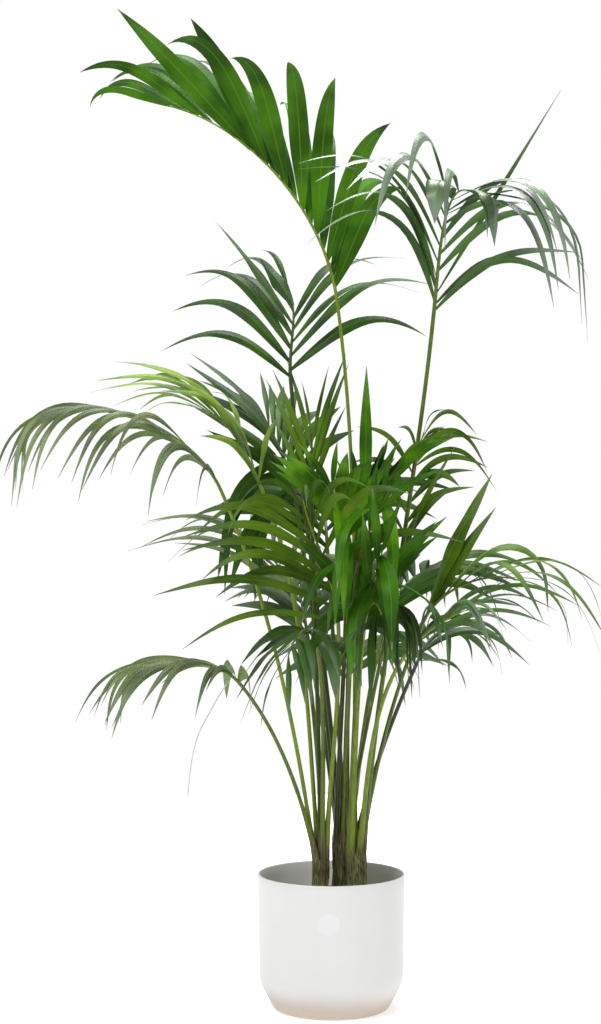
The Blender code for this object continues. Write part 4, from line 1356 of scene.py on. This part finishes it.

glaze, tree, shader = new_material("pot_glaze", IOR=1.5, Coat_Weight=0.05, Coat_Roughness=0.35)
place = place_on(tree)
height = add_node(tree, "SeparateXYZ", None, {0: place}).outputs[2]
cloud = noise_of(tree, place, 14.0)
grain = noise_of(tree, place, 900.0, 2.0)
edge = plus_times(tree, height, cloud, 0.008)
# painted reflection: 1 at the foot and 0 higher up; the same share also makes the foot rougher
floor_reflection = calculate(tree, "SUBTRACT", 1.0, mask_of(tree, edge, REFLECTION_TO, REFLECTION_FROM))
white = mix_colours(tree, cloud, *GLAZE_WHITES)
reflected_sand = mix_colours(tree, cloud, *REFLECTED_FLOOR_SANDS)
give(tree, shader, "Base Color", mix_colours(tree, floor_reflection, white, reflected_sand))
give(tree, shader, "Roughness", plus_times(tree, 0.42, floor_reflection, 0.25))
give(tree, shader, "Normal", bump_of(tree, grain, 0.12, 0.0003))
print("glaze:", len(tree.nodes), "nodes")

# %% [markdown]
# ## Inside of the pot
#
# The inside is painted a paler white with a touch of green than the glaze outside: painted light that
# brightens the inner wall, which the leaves shade. It could be a body of its own, but one wall with a second
# material on its inner faces can't come apart.

# %% Inside of the pot
# painted light: these whites are much paler than the glaze outside, to brighten the shaded inner wall
INSIDE_PAINTED_LIGHT_WHITES = (0.94, 0.955, 0.91, 1), (0.96, 0.97, 0.94, 1)

inside, tree, shader = new_material("pot_inside", IOR=1.5, Roughness=0.5)
cloud = noise_of(tree, place_on(tree), 14.0)
give(tree, shader, "Base Color", mix_colours(tree, cloud, *INSIDE_PAINTED_LIGHT_WHITES))
print("inside of the pot:", len(tree.nodes), "nodes")

# %% Build the pot
TURN_STEPS = 160


def circle_at(radius, height, sides):
    """Points of a level circle round the pot's axis."""
    return [(radius * math.cos(angle), radius * math.sin(angle), height) for angle in angles_round(sides)]


def turned(outer, inner):
    """The body that both outlines make round the axis. The inner one's faces take the second material."""
    outline = outer + inner
    points = [point for radius, height in outline for point in circle_at(radius, height, TURN_STEPS)]
    faces = ring_faces(len(outline), TURN_STEPS, flipped=True, joined_up=True)
    kinds = [0 if i < len(outer) * TURN_STEPS else 1 for i in range(len(faces))]
    return unmapped(points, faces, kinds)


pot = lone_piece("pot_wall", turned(outer, inner), [glaze, inside], sharp=40)
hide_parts("pot")

# %% [markdown]
# ## Sticker
#
# A small round paper sticker sits on the front of the wall. It stays blank. A disc would stand off the curved
# wall at both sides. So its points are laid on the wall's own curve, a quarter of a millimetre proud.

# %% Sticker
STICKER_ANGLE = math.radians(-92.6)
STICKER_HEIGHT = 0.173
STICKER_RADIUS = 0.0195
STICKER_THICKNESS = 0.00025
STICKER_SIDES, STICKER_RINGS = 64, 8
PAPER_WHITES = (0.735, 0.73, 0.73, 1), (0.77, 0.765, 0.765, 1)


def wall_radius(height):
    """The straight side's outer radius at a height."""
    slope = (POT_RIM_RADIUS - POT_SHOULDER_RADIUS) / (POT_HEIGHT - POT_SHOULDER_HEIGHT)
    return POT_RIM_RADIUS - slope * (POT_HEIGHT - height)


def sticker_body():
    """Rings that spread out over its face and close again behind it, inside the wall."""
    shares = [ring / STICKER_RINGS for ring in range(1, STICKER_RINGS + 1)]
    layers = [(share, STICKER_THICKNESS) for share in shares]
    layers += [(share, -STICKER_THICKNESS) for share in shares[::-1]]
    points = []
    for share, proud in layers:
        reach = STICKER_RADIUS * share
        for angle in angles_round(STICKER_SIDES):
            height = STICKER_HEIGHT + reach * math.sin(angle)
            radius = wall_radius(height) + proud
            turn = STICKER_ANGLE + reach * math.cos(angle) / radius
            points.append((radius * math.cos(turn), radius * math.sin(turn), height))
    return unmapped(points, capped_faces(len(layers), STICKER_SIDES, flipped=True))


paper, tree, shader = new_material("sticker_paper", IOR=1.45, Coat_Weight=0.2, Coat_Roughness=0.2)
weave = noise_of(tree, place_on(tree), 1400.0, 2.0)
give(tree, shader, "Base Color", mix_colours(tree, weave, *PAPER_WHITES))
give(tree, shader, "Roughness", plus_times(tree, 0.3, weave, 0.1))
sticker = lone_piece("blank_sticker", sticker_body(), [paper], sharp=40)

# %% [markdown]
# ## Soil
#
# Potting soil is dark, crumbly and uneven. Scattered grains would be many small bodies. A body that fills the
# pot gets a fine grid on top instead, raised and lowered by noise at two scales, so the crumbs are real shape
# and catch the light.

# %% Soil body
SOIL_RINGS, SOIL_SIDES = 60, 150
SOIL_WALL_GAP, SOIL_FLOOR_GAP = 0.0006, 0.0003
SOIL_DIP = 0.001  # of the surface's mean height under the soil's level
SOIL_SIDE_FROM = 0.006  # under the soil's level
CRUMB_HEIGHT = 0.0035
CRUMBS = ((60, 0.6), (260, 0.4))  # noise scale and share
CALM_EDGE, CALM_RISE = 0.3, 6  # height of the crumbs at the wall, and how fast it grows from there


def surface_point(share, angle):
    """A point of the soil's surface at a share of its radius."""
    radius = (wall_radius(SOIL_LEVEL) - POT_WALL - SOIL_WALL_GAP) * share
    x, y = radius * math.cos(angle), radius * math.sin(angle)
    spots = [Vector((x * scale, y * scale, layer)) for layer, (scale, _) in enumerate(CRUMBS, 1)]
    lumps = sum(part * noise.noise(spot) for spot, (_, part) in zip(spots, CRUMBS))
    return x, y, SOIL_LEVEL - SOIL_DIP + CRUMB_HEIGHT * lumps * min(1, CALM_RISE * (1 - share) + CALM_EDGE)


def soil_body():
    """The crumbly surface and, under it, the pot's own inner form."""
    points = []
    for ring in range(1, SOIL_RINGS + 1):
        points += [surface_point(ring / SOIL_RINGS, angle) for angle in angles_round(SOIL_SIDES)]
    inset, floor_level = POT_WALL + SOIL_WALL_GAP, POT_FLOOR + SOIL_FLOOR_GAP
    for radius, height in wall_outline(inset, floor_level, SOIL_LEVEL - SOIL_SIDE_FROM):
        points += circle_at(radius, height, SOIL_SIDES)
    return unmapped(points, capped_faces(len(points) // SOIL_SIDES, SOIL_SIDES, flipped=True))


print("soil:", SOIL_RINGS * SOIL_SIDES, "points on its surface")

# %% Build the soil
EARTHS = (0.020, 0.013, 0.009, 1), (0.085, 0.058, 0.038, 1)

earth, tree, shader = new_material("potting_soil", Roughness=0.95, IOR=1.35)
crumbs = noise_of(tree, place_on(tree), 220.0, 5.0)
give(tree, shader, "Base Color", mix_colours(tree, mask_of(tree, crumbs, 0.35, 0.7), *EARTHS))
give(tree, shader, "Normal", bump_of(tree, crumbs, 0.8, 0.002))
soil = lone_piece("soil_crumbs", soil_body(), [earth], sharp=60)
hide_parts("soil")

# %% [markdown]
# ## Floor
#
# The photograph has no horizon. A bent backdrop would do in a studio, but it would hide the plant from
# behind. So the floor is a round disc that glows a little, more and more towards its rim, until it's as white
# as the world around it.

# %% Floor
FLOOR_RADIUS, FLOOR_SIDES = 2.6, 96
FLOOR_RINGS = (0.25, 0.6, 1.1, 1.8, FLOOR_RADIUS)
GLOW_FROM, GLOW_TO = 0.5, 0.8 * FLOOR_RADIUS
FLOOR_GLOWS = (0.46, 0.46, 0.46, 1), (1, 1, 1, 1)  # in the middle and at the rim
FLOOR_WHITES = (0.90, 0.90, 0.90, 1), (0.92, 0.92, 0.92, 1)

floor_points = [(0, 0, 0)]
for radius in FLOOR_RINGS:
    floor_points += circle_at(radius, 0, FLOOR_SIDES)
neighbours = [(i, (i + 1) % FLOOR_SIDES) for i in range(FLOOR_SIDES)]
floor_faces = [(0, 1 + i, 1 + j) for i, j in neighbours]
for ring in range(len(FLOOR_RINGS) - 1):
    near = 1 + ring * FLOOR_SIDES
    far = near + FLOOR_SIDES
    floor_faces += [(near + i, far + i, far + j, near + j) for i, j in neighbours]
floor_mesh = bpy.data.meshes.new("floor")
floor_mesh.from_pydata(floor_points, [], floor_faces)
floor = bpy.data.objects.new("floor", floor_mesh)
scene.collection.objects.link(floor)
white, tree, shader = new_material(
    "floor_white", Roughness=0.9, Specular_IOR_Level=0.0, Emission_Strength=1.0)
place = place_on(tree)
give(tree, shader, "Base Color", mix_colours(tree, noise_of(tree, place, 3.0), *FLOOR_WHITES))
away = add_node(tree, "VectorMath", {"operation": "LENGTH"}, {0: place}).outputs["Value"]
glow = mask_of(tree, away, GLOW_FROM, GLOW_TO)
give(tree, shader, "Emission Color", mix_colours(tree, glow, *FLOOR_GLOWS))
floor_mesh.materials.append(white)
print("floor:", len(floor_faces), "faces")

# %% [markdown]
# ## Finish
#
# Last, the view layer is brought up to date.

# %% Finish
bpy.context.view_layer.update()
